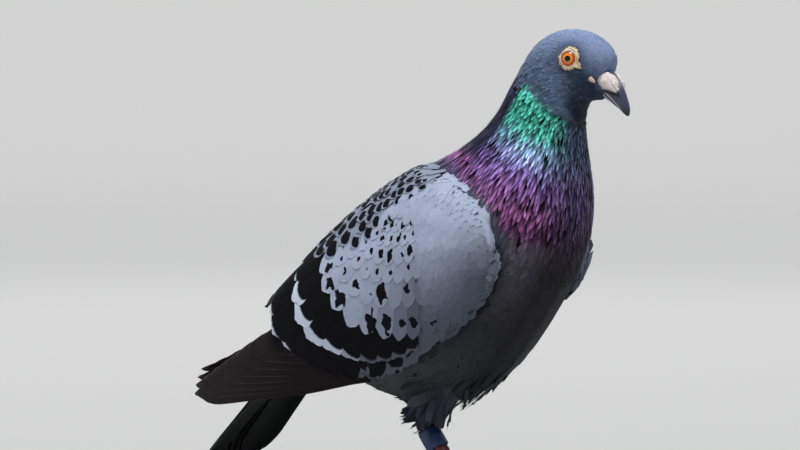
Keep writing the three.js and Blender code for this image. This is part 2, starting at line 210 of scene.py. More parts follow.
class Surface:
    """A closed mesh that points can be set down on."""

    def __init__(self, piece):
        mesh = piece.data
        mesh.calc_loop_triangles()
        count = len(mesh.loop_triangles)
        self.points = corners(piece)
        self.facing = outward(piece)
        self.triangles = np.zeros(count * 3, dtype=np.int32)
        mesh.loop_triangles.foreach_get("vertices", self.triangles)
        self.triangles = self.triangles.reshape(-1, 3)
        self.tree = BVHTree.FromPolygons(self.points.tolist(), self.triangles.tolist())
        self.unwrap = None
        if mesh.uv_layers:
            loops = np.zeros(count * 3, dtype=np.int32)
            mesh.loop_triangles.foreach_get("loops", loops)
            flat = np.zeros(len(mesh.loops) * 2, dtype=np.float32)
            mesh.uv_layers[0].data.foreach_get("uv", flat)
            self.unwrap = flat.reshape(-1, 2)[loops].reshape(-1, 3, 2)

    def nearest(self, places):
        """Nearest points, the directions that the surface faces there, and their places unwrapped."""
        flat = places.reshape(-1, 3)
        found = [self.tree.find_nearest(place) for place in flat.tolist()]
        hits = np.array([hit[0] for hit in found])
        index = np.array([hit[2] for hit in found])
        a, b, c = (self.points[self.triangles[index, k]] for k in range(3))
        ab, ac, ap = b - a, c - a, hits - a
        d00, d01, d11 = ((p * q).sum(1) for p, q in ((ab, ab), (ab, ac), (ac, ac)))
        d20, d21 = (ap * ab).sum(1), (ap * ac).sum(1)
        span = np.maximum(d00 * d11 - d01 * d01, 1e-20)
        v = np.clip((d11 * d20 - d01 * d21) / span, 0, 1)
        w = np.clip((d00 * d21 - d01 * d20) / span, 0, 1)
        share = np.stack([np.clip(1 - v - w, 0, 1), v, w], axis=1)
        facing = unit((self.facing[self.triangles[index]] * share[..., None]).sum(1))
        place = None
        if self.unwrap is not None:
            place = (self.unwrap[index] * share[..., None]).sum(1)
        return hits.reshape(places.shape), facing.reshape(places.shape), place

    def scatter(self, keep, spacing, tries):
        """Points spread evenly over the surface. keep and spacing are functions of points."""
        a, b, c = (self.points[self.triangles[:, k]] for k in range(3))
        size = np.linalg.norm(np.cross(b - a, c - a), axis=1)
        middle = (a + b + c) / 3
        chance = size * keep(middle) / spacing(middle) ** 2
        index = draw.choice(len(size), size=tries, p=chance / chance.sum())
        root = np.sqrt(draw.random(tries))[:, None]
        side = draw.random(tries)[:, None]
        places = a[index] * (1 - root) + b[index] * root * (1 - side) + c[index] * root * side
        gaps = spacing(places)
        cell = gaps.max()
        grid = {}
        chosen = []
        keys = np.floor(places / cell).astype(int).tolist()
        spots = places.tolist()
        near = [(i, j, k) for i in (-1, 0, 1) for j in (-1, 0, 1) for k in (-1, 0, 1)]
        for n, (x, y, z) in enumerate(spots):
            i, j, k = keys[n]
            limit = gaps[n] ** 2
            clear = True
            for di, dj, dk in near:
                for m in grid.get((i + di, j + dj, k + dk), ()):
                    p = spots[m]
                    if (p[0] - x) ** 2 + (p[1] - y) ** 2 + (p[2] - z) ** 2 < limit:
                        clear = False
                        break
                if not clear:
                    break
            if clear:
                grid.setdefault((i, j, k), []).append(n)
                chosen.append(n)
        return places[chosen]


FLESH_NODES = ["head", "neck", "chest", "belly", "rump", "thigh_right", "thigh_left"]
WING_NODES = [f"wing_{part}_{side}" for side in SIDES for part in ("scapulars", "coverts")]
SKIN_VOXEL = 1.4 * MM


def coat_depth(points):
    """How far the skin lies inside the outline: thin on the face, thick on the belly."""
    head_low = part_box("head")[0].z
    on_head = ramp(points[:, 2], head_low, head_low + 12 * MM)
    return (1.3 - 0.8 * on_head) * MM


def make_skin():
    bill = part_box("bill_lower")[0]
    chin = ball("chin", np.array([bill.x, 0, bill.z + 8.5 * MM]), np.array([9, 6, 5]) * MM)
    jaws = [ball("jaw", np.array([bill.x + 1 * MM, side * 3.4 * MM, bill.z + 9 * MM]),
                 np.array([7, 3.9, 5]) * MM) for side in SIDES.values()]
    skin = grown("skin", FLESH_NODES + WING_NODES + ["eye_right", "eye_left"], SKIN_VOXEL, 8,
                 chin, *jaws)
    points = corners(skin)
    move_corners(skin, points - outward(skin) * coat_depth(points)[:, None])
    edit(skin, lambda: bpy.ops.uv.smart_project(angle_limit=math.radians(66), island_margin=0.004))
    skin.data.uv_layers[0].name = "OFBake"
    return skin


# ---------------------------------------------------------------------------------------------
# Lie of the coat: a line runs through the middle of the bird from its bill to its tail
# ---------------------------------------------------------------------------------------------

def middle_of(node):
    low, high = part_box(node)
    return np.array([(low.x + high.x) / 2, (low.z + high.z) / 2])


def body_line():
    """Points on the middle line, and how far along it each one is, from the bill back."""
    bill_root = np.array([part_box("bill_upper")[0].x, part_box("bill_lower")[1].z])
    head = middle_of("head") + np.array([2, 1]) * MM
    stops = [bill_root, head + np.array([13, 0]) * MM, head, head + np.array([-12, -9]) * MM,
             middle_of("neck") + np.array([2, 4]) * MM, middle_of("chest") + np.array([2, 7]) * MM,
             middle_of("belly"), middle_of("rump") + np.array([0, 2]) * MM,
             middle_of("tail") + np.array([12, 12]) * MM]
    stops = np.array(stops)
    ends = np.vstack([2 * stops[0] - stops[1], stops, 2 * stops[-1] - stops[-2]])
    fine = []
    for i in range(len(stops) - 1):
        p0, p1, p2, p3 = ends[i:i + 4]
        for f in np.linspace(0, 1, 24, endpoint=False):
            fine.append((2 * p1 + (p2 - p0) * f + (2 * p0 - 5 * p1 + 4 * p2 - p3) * f ** 2
                         + (3 * p1 - p0 - 3 * p2 + p3) * f ** 3) / 2)
    fine = np.array(fine)
    steps = np.linalg.norm(np.diff(fine, axis=0), axis=1)
    return fine, np.concatenate([[0], np.cumsum(steps)])


LINE, LINE_REACH = body_line()
LINE_ALONG = unit(np.gradient(LINE, axis=0))


def place_on_body(points):
    """How far back each point is, which way is back there, and how far it is towards the back
    (above 0) or the throat and belly (below 0), as a share of the body's depth."""
    flat = points[:, [0, 2]]
    gap = ((flat[:, None, :] - LINE[None]) ** 2).sum(2)
    below = np.maximum(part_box("head")[0].z + 5 * MM - flat[:, 1], 0)
    gap += (1.6 * below[:, None] * (1 - ramp(LINE_REACH, 20 * MM, 46 * MM))) ** 2
    share = np.exp(-(gap - gap.min(1, keepdims=True)) / (9 * MM) ** 2)
    share /= share.sum(1, keepdims=True)
    reach = share @ LINE_REACH
    along = unit(share @ LINE_ALONG)
    middle = share @ LINE
    across = np.stack([along[:, 1], -along[:, 0]], axis=1)
    rise = ((flat - middle) * across).sum(1)
    depth = np.abs(rise) + np.abs(points[:, 1]) + 1e-6
    backward = np.stack([along[:, 0], np.zeros(len(points)), along[:, 1]], axis=1)
    return reach, backward, rise / depth


# ---------------------------------------------------------------------------------------------
# Colours of the plumage by place, the same for the skin and for the feathers on it
# ---------------------------------------------------------------------------------------------

# The crown's colour is lighter than the cheek's: painted highlight, where the top of the head faces
# the light.
CROWN_HIGHLIGHT = rgb("8b9dc3")
CHEEK = rgb("60728f")
LORE = rgb("2c374b")
NAPE = rgb("343253")
GREEN = rgb("58cdb4")
TEAL = rgb("7fb3cb")
LAVENDER = rgb("8e9acb")
VIOLET = rgb("7c66a6")
PURPLE = rgb("9670b4")
MAGENTA = rgb("b46cae")
PLUM = rgb("6a3862")
BREAST = rgb("64616e")
CHARCOAL = rgb("2d2e33")
BELLY = rgb("4b4e54")
MANTLE = rgb("596172")
RUMP = rgb("767d8b")
THROAT_AND_SHADE = rgb("222a36")
THIGH = rgb("3a3c48")
SHADE = rgb("121317")
SLATE = rgb("424857")
INK = rgb("101016")
PALE = rgb("a9b4cc")
DULL = rgb("8a93a6")
WHITE = rgb("c8d0e2")


EYES = np.array([list((low + high) / 2) for low, high in map(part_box, ("eye_right", "eye_left"))])


def stops_of(value, *stops):
    """A colour on a smooth run through stops of (place, colour)."""
    places = [place for place, _ in stops]
    colours = np.array([colour for _, colour in stops])
    return np.stack([np.interp(value, places, colours[:, k]) for k in range(3)], axis=-1)


def plumage(points, unevenness=0.0):
    """Colour and gloss of the body's feathers at these points, in metres."""
    reach, _, rise = place_on_body(points)
    reach = reach / MM + draw.normal(0, 1, len(points)) * unevenness
    high = points[:, 2] / MM
    # painted highlight: the head runs lighter towards its top
    head = blend_to(CHEEK, CROWN_HIGHLIGHT, ramp(rise, 0.1, 0.85))
    head = blend_to(head, LORE, ramp(-reach, -18, -6) * ramp(-rise, -0.6, 0.1))
    # painted shade: the back of the head is made darker, where it faces away from the light
    head = blend_to(head, head * 0.72, ramp(reach, 20, 36))
    # Under the head the colour runs to a dark slate: partly the throat's own colour, partly painted
    # shade on the underside, which faces away from the light.
    head = blend_to(head, THROAT_AND_SHADE, ramp(-rise, 0.5, 0.85))
    # painted shade: the feathers in the hollow round each eye ring are darkened towards the lore's
    # colour
    for eye in EYES:
        near = 1 - ramp(np.linalg.norm(points - eye, axis=1), 6 * MM, 11 * MM)
        head = blend_to(head, LORE, 0.55 * near)
    side = stops_of(reach, (36, CHEEK), (42, GREEN), (57, GREEN), (62, TEAL), (68, LAVENDER),
                    (74, VIOLET), (80, PURPLE), (92, MAGENTA * 0.8), (99, PLUM), (107, BREAST),
                    (150, CHARCOAL), (180, BELLY), (235, BELLY))
    back = stops_of(reach, (36, CHEEK), (44, NAPE), (78, NAPE), (83, MAGENTA), (88, PURPLE * 0.6),
                    (93, MANTLE), (190, MANTLE), (215, RUMP))
    # Down the front of the neck the tints are the bird's own; from the lower neck on they run near
    # black, painted shade where the breast's front faces away from the light.
    throat = stops_of(reach, (38, THROAT_AND_SHADE), (60, rgb("52607a")), (74, rgb("5a4c74")),
                      (98, rgb("3a2c42")), (112, rgb("201d24")), (165, CHARCOAL * 0.6), (190, BELLY))
    body = blend_to(side, back, ramp(rise, 0.0, 0.28))
    body = blend_to(body, throat, ramp(-rise, 0.5, 0.82))
    colour = blend_to(head, body, ramp(reach, 36, 43))
    gloss = ramp(reach, 37, 44) * (1 - ramp(reach, 94, 110)) * (1 - 0.6 * ramp(-rise, 0.6, 0.9))
    legs = ramp(-high, -50, -44)
    colour = blend_to(colour, THIGH, legs)
    return colour, gloss * (1 - legs)


# ---------------------------------------------------------------------------------------------
# Feathers: thin closed vanes that are cut once and set down many times
# ---------------------------------------------------------------------------------------------

class Vane:
    """The pattern of one feather: a grid of rows from root to tip, closed by an underside."""

    def __init__(self, columns, rows, root, turn, tip):
        """root is the share of the full width at the root; the sides turn in to the tip from the
        share turn of the length, and the last row has the share tip of the width."""
        across = np.linspace(-1, 1, columns)
        along = 1 - (1 - np.linspace(0, 1, rows)) ** 1.5
        self.along, self.across = (g.ravel() for g in np.meshgrid(along, across, indexing="ij"))
        swell = root + (1 - root) * np.sin(np.minimum(self.along / 0.6, 1) * np.pi / 2)
        bend = math.sqrt(1 - tip ** 2) * np.maximum(self.along - turn, 0) / (1 - turn)
        self.width = swell * np.sqrt(1 - bend ** 2)
        self.reach = self.along * (1 - 0.05 * self.across ** 2 * self.along ** 6)
        grid = np.arange(rows * columns).reshape(rows, columns)
        inner = np.zeros_like(grid, dtype=bool)
        inner[1:-1, 1:-1] = True
        self.inner = inner.ravel()
        under = grid.copy()
        under[inner] = rows * columns + np.arange(inner.sum())
        top = np.stack([grid[:-1, :-1], grid[:-1, 1:], grid[1:, 1:], grid[1:, :-1]], axis=-1)
        low = np.stack([under[:-1, :-1], under[1:, :-1], under[1:, 1:], under[:-1, 1:]], axis=-1)
        self.faces = np.concatenate([top.reshape(-1, 4), low.reshape(-1, 4)])
        self.source = np.concatenate([np.arange(rows * columns), np.flatnonzero(self.inner)])
        self.is_under = np.arange(len(self.source)) >= rows * columns
        self.is_rim = ~self.inner[self.source]
        self.tip_row = self.along > 0.999
        self.edge = np.abs(self.across) > 0.999


TUFT = Vane(columns=3, rows=4, root=0.5, turn=0.4, tip=0.5)
HACKLE = Vane(columns=3, rows=6, root=0.5, turn=0.2, tip=0.2)
CONTOUR = Vane(columns=5, rows=6, root=0.55, turn=0.5, tip=0.4)
LOOSE = Vane(columns=5, rows=7, root=0.4, turn=0.5, tip=0.45)
COVERT_TURN = 0.7
COVERT = Vane(columns=9, rows=11, root=0.6, turn=COVERT_TURN, tip=0.42)
FLIGHT = Vane(columns=9, rows=12, root=0.6, turn=0.8, tip=0.4)
BAR_TURN = 0.9
BAR = Vane(columns=11, rows=14, root=0.6, turn=BAR_TURN, tip=0.5)


class Feathers:
    """A batch of feathers with one pattern, as arrays: where each grows and how it is shaped."""

    def __init__(self, vane, roots, backward, facing, length, width):
        self.vane = vane
        self.roots = roots
        self.facing = unit(facing)
        along = backward - self.facing * (backward * self.facing).sum(1, keepdims=True)
        self.along = unit(along)
        self.length = np.broadcast_to(length, len(roots)).astype(float)
        self.width = np.broadcast_to(width, len(roots)).astype(float)
        self.low = np.zeros(len(roots))
        self.lift = np.full(len(roots), 0.8 * MM)
        self.camber = 0.12
        self.roll = 0.0
        self.fray = 0.08
        self.thick = 0.12 * MM
        self.colour = None
        self.extra = {}
        self.tone = draw.normal(0, 1, len(roots)).clip(-2, 2)

    def only(self, chosen):
        """Drops every feather but the chosen ones."""
        for key in ("roots", "facing", "along", "length", "width", "low", "lift", "tone"):
            setattr(self, key, getattr(self, key)[chosen])
        for key, values in self.extra.items():
            self.extra[key] = values[chosen]

    def turned(self, amount):
        """Turns each feather a little about the direction that it faces."""
        angle = draw.normal(0, amount, len(self.roots))[:, None]
        side = np.cross(self.along, self.facing)
        self.along = unit(self.along * np.cos(angle) + side * np.sin(angle))
        return self

    def laid(self, surface):
        """Corners of every feather, draped over the surface."""
        vane = self.vane
        side = np.cross(self.along, self.facing)
        fray = draw.normal(0, self.fray, (len(self.roots), len(vane.along))).clip(-0.045, 0.16)
        fray = np.where(vane.tip_row, fray, fray * 0.35) * (vane.along > 0.3)
        reach = self.length[:, None] * vane.reach * (1 + fray)
        spread = self.width[:, None] / 2 * vane.width * vane.across
        spread = spread * (1 + np.where(vane.edge, fray, 0))
        flat = (self.roots[:, None] + self.along[:, None] * reach[..., None]
                + side[:, None] * spread[..., None])
        places, facing = surface(flat)[:2]
        height = (self.low[:, None] + self.lift[:, None] * vane.along
                  - self.camber * self.width[:, None] * vane.across ** 2 * vane.along ** 0.5
                  + self.roll * spread)
        top = places + facing * height[..., None]
        return top[:, vane.source] - facing[:, vane.source] * (
            self.thick * vane.is_under[None, :, None])


# Each feather gets a patch this wide on the OFBake map, at its root's place on the unwrapped skin.
PATCH = 0.003


def feather_piece(name, batches, lie, ground):
    """One mesh from batches of feathers. lie sets flat corners down; ground has the unwrap."""
    points, faces, vane_map, bake_map, colours, rim = [], [], [], [], [], []
    numbers = {}
    start = 0
    for batch in batches:
        vane = batch.vane
        laid = batch.laid(lie)
        count, size = laid.shape[:2]
        points.append(laid.reshape(-1, 3))
        faces.append((vane.faces[None] + (start + np.arange(count) * size)[:, None, None])
                     .reshape(-1, 4))
        start += count * size
        rim.append(np.tile(vane.is_rim, count))
        across = (vane.across * vane.width)[vane.source] / 2 + 0.5
        along = vane.reach[vane.source]
        vane_map.append(np.tile(np.stack([across, along], axis=1), (count, 1)))
        home = ground.nearest(lie(batch.roots)[0])[2]
        patch = np.stack([across - 0.5, along - 0.5], axis=1) * PATCH
        bake_map.append((home[:, None] + patch[None]).reshape(-1, 2))
        colours.append(np.repeat(batch.colour, size, axis=0))
        for key in ("tone", *batch.extra):
            values = batch.tone if key == "tone" else batch.extra[key]
            numbers.setdefault(key, []).append(np.repeat(values, size))
    points, faces = np.concatenate(points), np.concatenate(faces)
    mesh = bpy.data.meshes.new(name)
    mesh.vertices.add(len(points))
    mesh.vertices.foreach_set("co", points.astype(np.float32).ravel())
    mesh.loops.add(faces.size)
    mesh.loops.foreach_set("vertex_index", faces.astype(np.int32).ravel())
    mesh.polygons.add(len(faces))
    mesh.polygons.foreach_set("loop_start", np.arange(0, faces.size, 4, dtype=np.int32))
    mesh.update(calc_edges=True)
    ends = np.zeros(len(mesh.edges) * 2, dtype=np.int32)
    mesh.edges.foreach_get("vertices", ends)
    sharp = np.concatenate(rim)[ends.reshape(-1, 2)].all(axis=1)
    mesh.attributes.new("sharp_edge", "BOOLEAN", "EDGE").data.foreach_set("value", sharp)
    for label, values in (("Vane", vane_map), ("OFBake", bake_map)):
        layer = mesh.uv_layers.new(name=label)
        per_corner = np.concatenate(values)[faces.ravel()]
        layer.data.foreach_set("uv", per_corner.astype(np.float32).ravel())
    piece = bpy.data.objects.new(name, mesh)
    bpy.context.scene.collection.objects.link(piece)
    tint(piece, np.concatenate(colours))
    for key, values in numbers.items():
        weight(piece, key.capitalize(), np.concatenate(values))
    return piece


# ---------------------------------------------------------------------------------------------
# Finishes
# ---------------------------------------------------------------------------------------------

class Finish:
    """A material that is put together node by node around one Principled shader."""

    def __init__(self, name, **constants):
        self.material = bpy.data.materials.new(name)
        self.material.use_nodes = True
        self.tree = self.material.node_tree
        self.shader = self.tree.nodes["Principled BSDF"]
        for key, value in constants.items():
            self.shader.inputs[key.replace("_", " ")].default_value = value

    def add(self, kind, *sources, **settings):
        node = self.tree.nodes.new("ShaderNode" + kind)
        for key, value in settings.items():
            setattr(node, key, value)
        for socket, source in zip(node.inputs, sources):
            self.feed(socket, source)
        return node

    def feed(self, socket, source):
        if source is None:
            return
        if isinstance(source, bpy.types.NodeSocket):
            self.tree.links.new(socket, source)
        elif np.ndim(source) and socket.type == "RGBA":
            socket.default_value = (*source, 1)
        else:
            socket.default_value = source

    def set(self, name, source):
        self.feed(self.shader.inputs[name], source)

    def number(self, name):
        return self.add("Attribute", attribute_name=name).outputs["Fac"]

    def colour(self, name):
        return self.add("Attribute", attribute_name=name).outputs["Color"]

    def place(self):
        return self.add("TexCoord").outputs["Object"]

    def map(self, name):
        """The two coordinates of a piece's own map."""
        split = self.add("SeparateXYZ", self.add("UVMap", uv_map=name).outputs["UV"])
        return split.outputs["X"], split.outputs["Y"]

    def math(self, operation, *sources):
        return self.add("Math", *sources, operation=operation).outputs[0]

    def times(self, first, second):
        return self.math("MULTIPLY", first, second)

    def plus(self, first, second):
        return self.math("ADD", first, second)

    def minus(self, first, second):
        return self.math("SUBTRACT", first, second)

    def barbs(self, along, off, slant, count):
        """Fine ribs that slant out from the shaft of a feather."""
        return self.math("SINE", self.times(self.minus(along, self.times(off, slant)), count))

    def rise(self, value, low, high):
        node = self.add("MapRange", value, interpolation_type="SMOOTHSTEP")
        self.feed(node.inputs["From Min"], low)
        self.feed(node.inputs["From Max"], high)
        return node.outputs["Result"]

    def between(self, value, low, high):
        """Maps a value of 0 to 1 onto low to high."""
        node = self.add("MapRange", value)
        node.inputs["To Min"].default_value = low
        node.inputs["To Max"].default_value = high
        return node.outputs["Result"]

    def mix(self, first, second, share):
        node = self.add("Mix", data_type="RGBA")
        self.feed(node.inputs["Factor"], share)
        self.feed(node.inputs[6], first)
        self.feed(node.inputs[7], second)
        return node.outputs[2]

    def scaled(self, colour, factor):
        """A colour made darker or lighter by a factor."""
        return self.add("VectorMath", colour, None, None, factor, operation="SCALE").outputs[0]

    def noise(self, place, scale, detail=2.0, stretch=None):
        if stretch is not None:
            place = self.add("Mapping", place, None, None, stretch).outputs[0]
        node = self.add("TexNoise", place)
        node.inputs["Scale"].default_value = scale
        node.inputs["Detail"].default_value = detail
        return node.outputs["Fac"]

    def bump(self, height, strength, distance=0.1 * MM):
        node = self.add("Bump")
        node.inputs["Strength"].default_value = strength
        node.inputs["Distance"].default_value = distance
        self.feed(node.inputs["Height"], height)
        self.set("Normal", node.outputs["Normal"])


# ---------------------------------------------------------------------------------------------
# Skin
# ---------------------------------------------------------------------------------------------

DRY = 0.62
GLOSSY = 0.36


def plumage_finish(name, depth, speckle_and_glint, edge):
    """Feathers of the body: the place's colour, with barbs along each vane and a darker root and
    sides, painted shade where each feather runs under its neighbours. depth and edge are how dark the
    root and the sides are; speckle is how much one feather differs from the next. On glossy feathers
    these stay strong, as painted glints on the hackles; on matte feathers they are evened out."""
    finish = Finish(name, Specular_IOR_Level=0.1)
    times, plus, minus, between = finish.times, finish.plus, finish.minus, finish.between
    across, along = finish.map("Vane")
    off = finish.math("ABSOLUTE", minus(across, 0.5))
    barbs = finish.barbs(along, off, 0.9, 150.0)
    gloss = finish.number("Gloss")
    shade = between(finish.rise(along, 0.15, 0.95), 1 - depth, 1.0 + 0.3 * depth)
    shade = times(shade, between(barbs, 0.97, 1.03))
    shade = times(shade, between(finish.rise(off, 0.2, 0.5), 1 + 0.3 * edge, 1 - edge))
    shade = times(shade, plus(1.0, times(finish.number("Tone"), speckle_and_glint)))
    # calm evens the tone on matte feathers; where Gloss is high the bright tips, dark roots and sides
    # and the spread from feather to feather stay, as painted glints.
    calm = times(minus(1.0, finish.rise(gloss, 0.0, 0.5)), minus(0.9, shade))
    shade = plus(shade, times(calm, 0.8))
    finish.set("Base Color", finish.scaled(finish.colour("Tint"), shade))
    finish.set("Metallic", times(gloss, 0.6))
    finish.set("Roughness", minus(DRY, times(gloss, DRY - GLOSSY)))
    finish.bump(barbs, 0.12)
    return finish.material


def skin_finish():
    finish = Finish("feathered skin", Roughness=0.75)
    spots = finish.noise(finish.place(), 900.0)
    finish.set("Base Color", finish.scaled(finish.colour("Tint"), finish.between(spots, 0.75, 0.95)))
    finish.bump(spots, 0.2)
    return finish.material


skin = make_skin()
ground = Surface(skin)
flesh_copy = copy_of("pattern", FLESH_NODES)
flesh_solid = Surface(flesh_copy)
wing_copy = copy_of("pattern", WING_NODES)
wing_solid = Surface(wing_copy)
bpy.data.objects.remove(flesh_copy)
bpy.data.objects.remove(wing_copy)


def distance(solid, points):
    """How far each point is from the solid's surface."""
    return np.array([solid.tree.find_nearest(point)[3] for point in points.tolist()])


behind = ramp(-ground.points[:, 0], -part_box("wing_coverts_right")[0].x - 14 * MM,
              -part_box("wing_coverts_right")[0].x - 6 * MM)
tint(skin, blend_to(blend_to(PALE, INK, behind), plumage(ground.points)[0],
                    ramp(distance(wing_solid, ground.points), 1.2 * MM, 2.4 * MM)))
dress(skin, skin_finish(), "plumage_blue_grey", *FLESH_NODES, *WING_NODES)


# ---------------------------------------------------------------------------------------------
# Coat of the body
# ---------------------------------------------------------------------------------------------

LENGTH_STOPS = ([0, 10, 25, 41, 50, 60, 73, 90, 109, 130, 157, 183, 238],
                [1.5, 2.0, 3.0, 4.0, 5.5, 7, 8, 8.5, 9.5, 12, 15, 16, 18])
WIDTH_STOPS = ([0, 25, 41, 48, 73, 90, 109, 130, 157, 183],
               [1.1, 1.8, 1.9, 1.25, 1.4, 1.7, 4.0, 7, 9, 10])


def feather_size(points):
    """Length and width of the body's feathers at these points."""
    reach = place_on_body(points)[0] / MM
    width = np.interp(reach, *WIDTH_STOPS)
    above_thigh = ramp(points[:, 2], THIGH_TOP + 2 * MM, THIGH_TOP + 20 * MM)
    return np.interp(reach, *LENGTH_STOPS) * MM, width * (0.45 + 0.55 * above_thigh) * MM


def spacing(points):
    length, width = feather_size(points)
    return np.where(width < 3 * MM, 0.5, 0.34) * np.sqrt(length * width)


THIGH_LOW, THIGH_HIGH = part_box("thigh_right")
THIGH_TOP = THIGH_HIGH.z - 5 * MM

middles = ground.points[ground.triangles].mean(1)
middle_reach = place_on_body(middles)[0] / MM
to_wing = distance(wing_solid, middles)
beside_wing = to_wing - distance(flesh_solid, middles)


def hanging(places):
    """Sets corners down on the skin, but lets what reaches past its end hang free."""
    hits, facing, unwrap = ground.nearest(places)
    free = ramp(np.linalg.norm(places - hits, axis=-1), 1 * MM, 3.5 * MM)[..., None]
    return hits * (1 - free) + places * free, facing, unwrap


def streaks(points):
    """Uneven streaks that run back and down over the head, about -1 to 1."""
    run = unit(np.array([-0.92, 0.0, -0.38]))
    across = np.array([run[2], 0.0, -run[0]])
    places = np.stack([points @ run / 2.6, points @ across / 0.9, points[:, 1] / 1.4], axis=1) / MM
    return 2 * np.array([noise.noise(place) for place in places.tolist()])


def coat(name, low, high, vane, finish, slot, tries, lift, thigh=False):
    """Feathers over the part of the body between two reaches along its line."""
    def keep(points):
        chosen = (beside_wing > -0.3 * MM) * (middle_reach >= low) * (middle_reach < high)
        for eye in EYES:
            chosen = chosen * (np.linalg.norm(points - eye, axis=1) > 6.7 * MM)
        on_thigh = ((points[:, 2] < THIGH_TOP) * (points[:, 0] > THIGH_LOW.x - 1 * MM)
                    * (points[:, 0] < THIGH_HIGH.x + 1 * MM))
        return chosen * (on_thigh == thigh)

    roots = ground.scatter(keep, spacing, tries)
    facing = ground.nearest(roots)[1]
    length, width = feather_size(roots)
    backward = place_on_body(roots)[1]
    if thigh:
        backward = np.tile([-0.35, 0.0, -1.0], (len(roots), 1))
        length = np.full(len(roots), 12 * MM)
        width = length * 0 + 3.2 * MM
    batch = Feathers(vane, roots, backward, facing, length, width).turned(0.1)
    tips = roots + batch.along * length[:, None] * 0.8
    batch.only(distance(wing_solid, tips) - distance(flesh_solid, tips) > -0.2 * MM)
    length = batch.length
    ragged = (1 - ramp(batch.roots[:, 2], THIGH_TOP + 2 * MM, THIGH_TOP + 14 * MM)) * (
        batch.roots[:, 0] > THIGH_LOW.x + 14 * MM)
    batch.lift = length * (lift + 0.4 * ragged * draw.random(len(length)) ** 3)
    if high > 115:
        batch.thick = 0.05 * MM
    batch.camber = 0.08 if high < 115 else 0.01
    tips = batch.roots + batch.along * length[:, None] * 0.6
    batch.colour, batch.extra["gloss"] = plumage(tips, 1.6)
    if high < 60:
        batch.tone = batch.tone + 2.4 * streaks(batch.roots)
        batch.lift = batch.lift + 0.4 * MM * streaks(batch.roots).clip(0, 1)
        batch.tone = batch.tone * (1 - 0.75 * ramp(place_on_body(tips)[2], 0.1, 0.6))
    beside = 1 - ramp(distance(wing_solid, tips), 1.5 * MM, 8 * MM)
    batch.colour = blend_to(batch.colour, SLATE, beside * (length > 6 * MM))
    batch.extra["gloss"] = batch.extra["gloss"] * (1 - beside)
    shaded = 1 - ramp(distance(wing_solid, tips), 2 * MM, 9 * MM)
    shaded = shaded * ramp(-tips[:, 2], -130 * MM, -105 * MM) * (length > 8.6 * MM)
    batch.colour = blend_to(batch.colour, SHADE, shaded)
    lie = hanging if low > 99 else ground.nearest
    piece = feather_piece(name, [batch], lie, ground)
    return dress(piece, finish, slot)


fine = plumage_finish("fine head feathers", 0.6, 0.42, 0.45)
hackles = plumage_finish("hackles", 0.9, 0.52, 0.7)
soft = plumage_finish("soft body feathers", 0.2, 0.09, 0.05)
coat("coat_face", 0, 22, TUFT, fine, "plumage_blue_grey", 60000, 0.05)
coat("coat_head", 22, 41, TUFT, fine, "plumage_blue_grey", 60000, 0.05)
coat("coat_neck", 41, 76, HACKLE, hackles, "plumage_iridescent", 50000, 0.08)
coat("coat_collar", 76, 112, HACKLE, hackles, "plumage_iridescent", 40000, 0.07)
coat("coat_breast", 112, 152, CONTOUR, soft, "plumage_dark", 30000, 0.012)
coat("coat_belly", 152, 300, LOOSE, soft, "plumage_dark", 24000, 0.014)
coat("coat_thighs", 100, 300, LOOSE, soft, "plumage_dark", 6000, 0.05, thigh=True)


# ---------------------------------------------------------------------------------------------
# Wings
# ---------------------------------------------------------------------------------------------

# Rays start this far out, beyond the whole bird.
FAR = 0.4


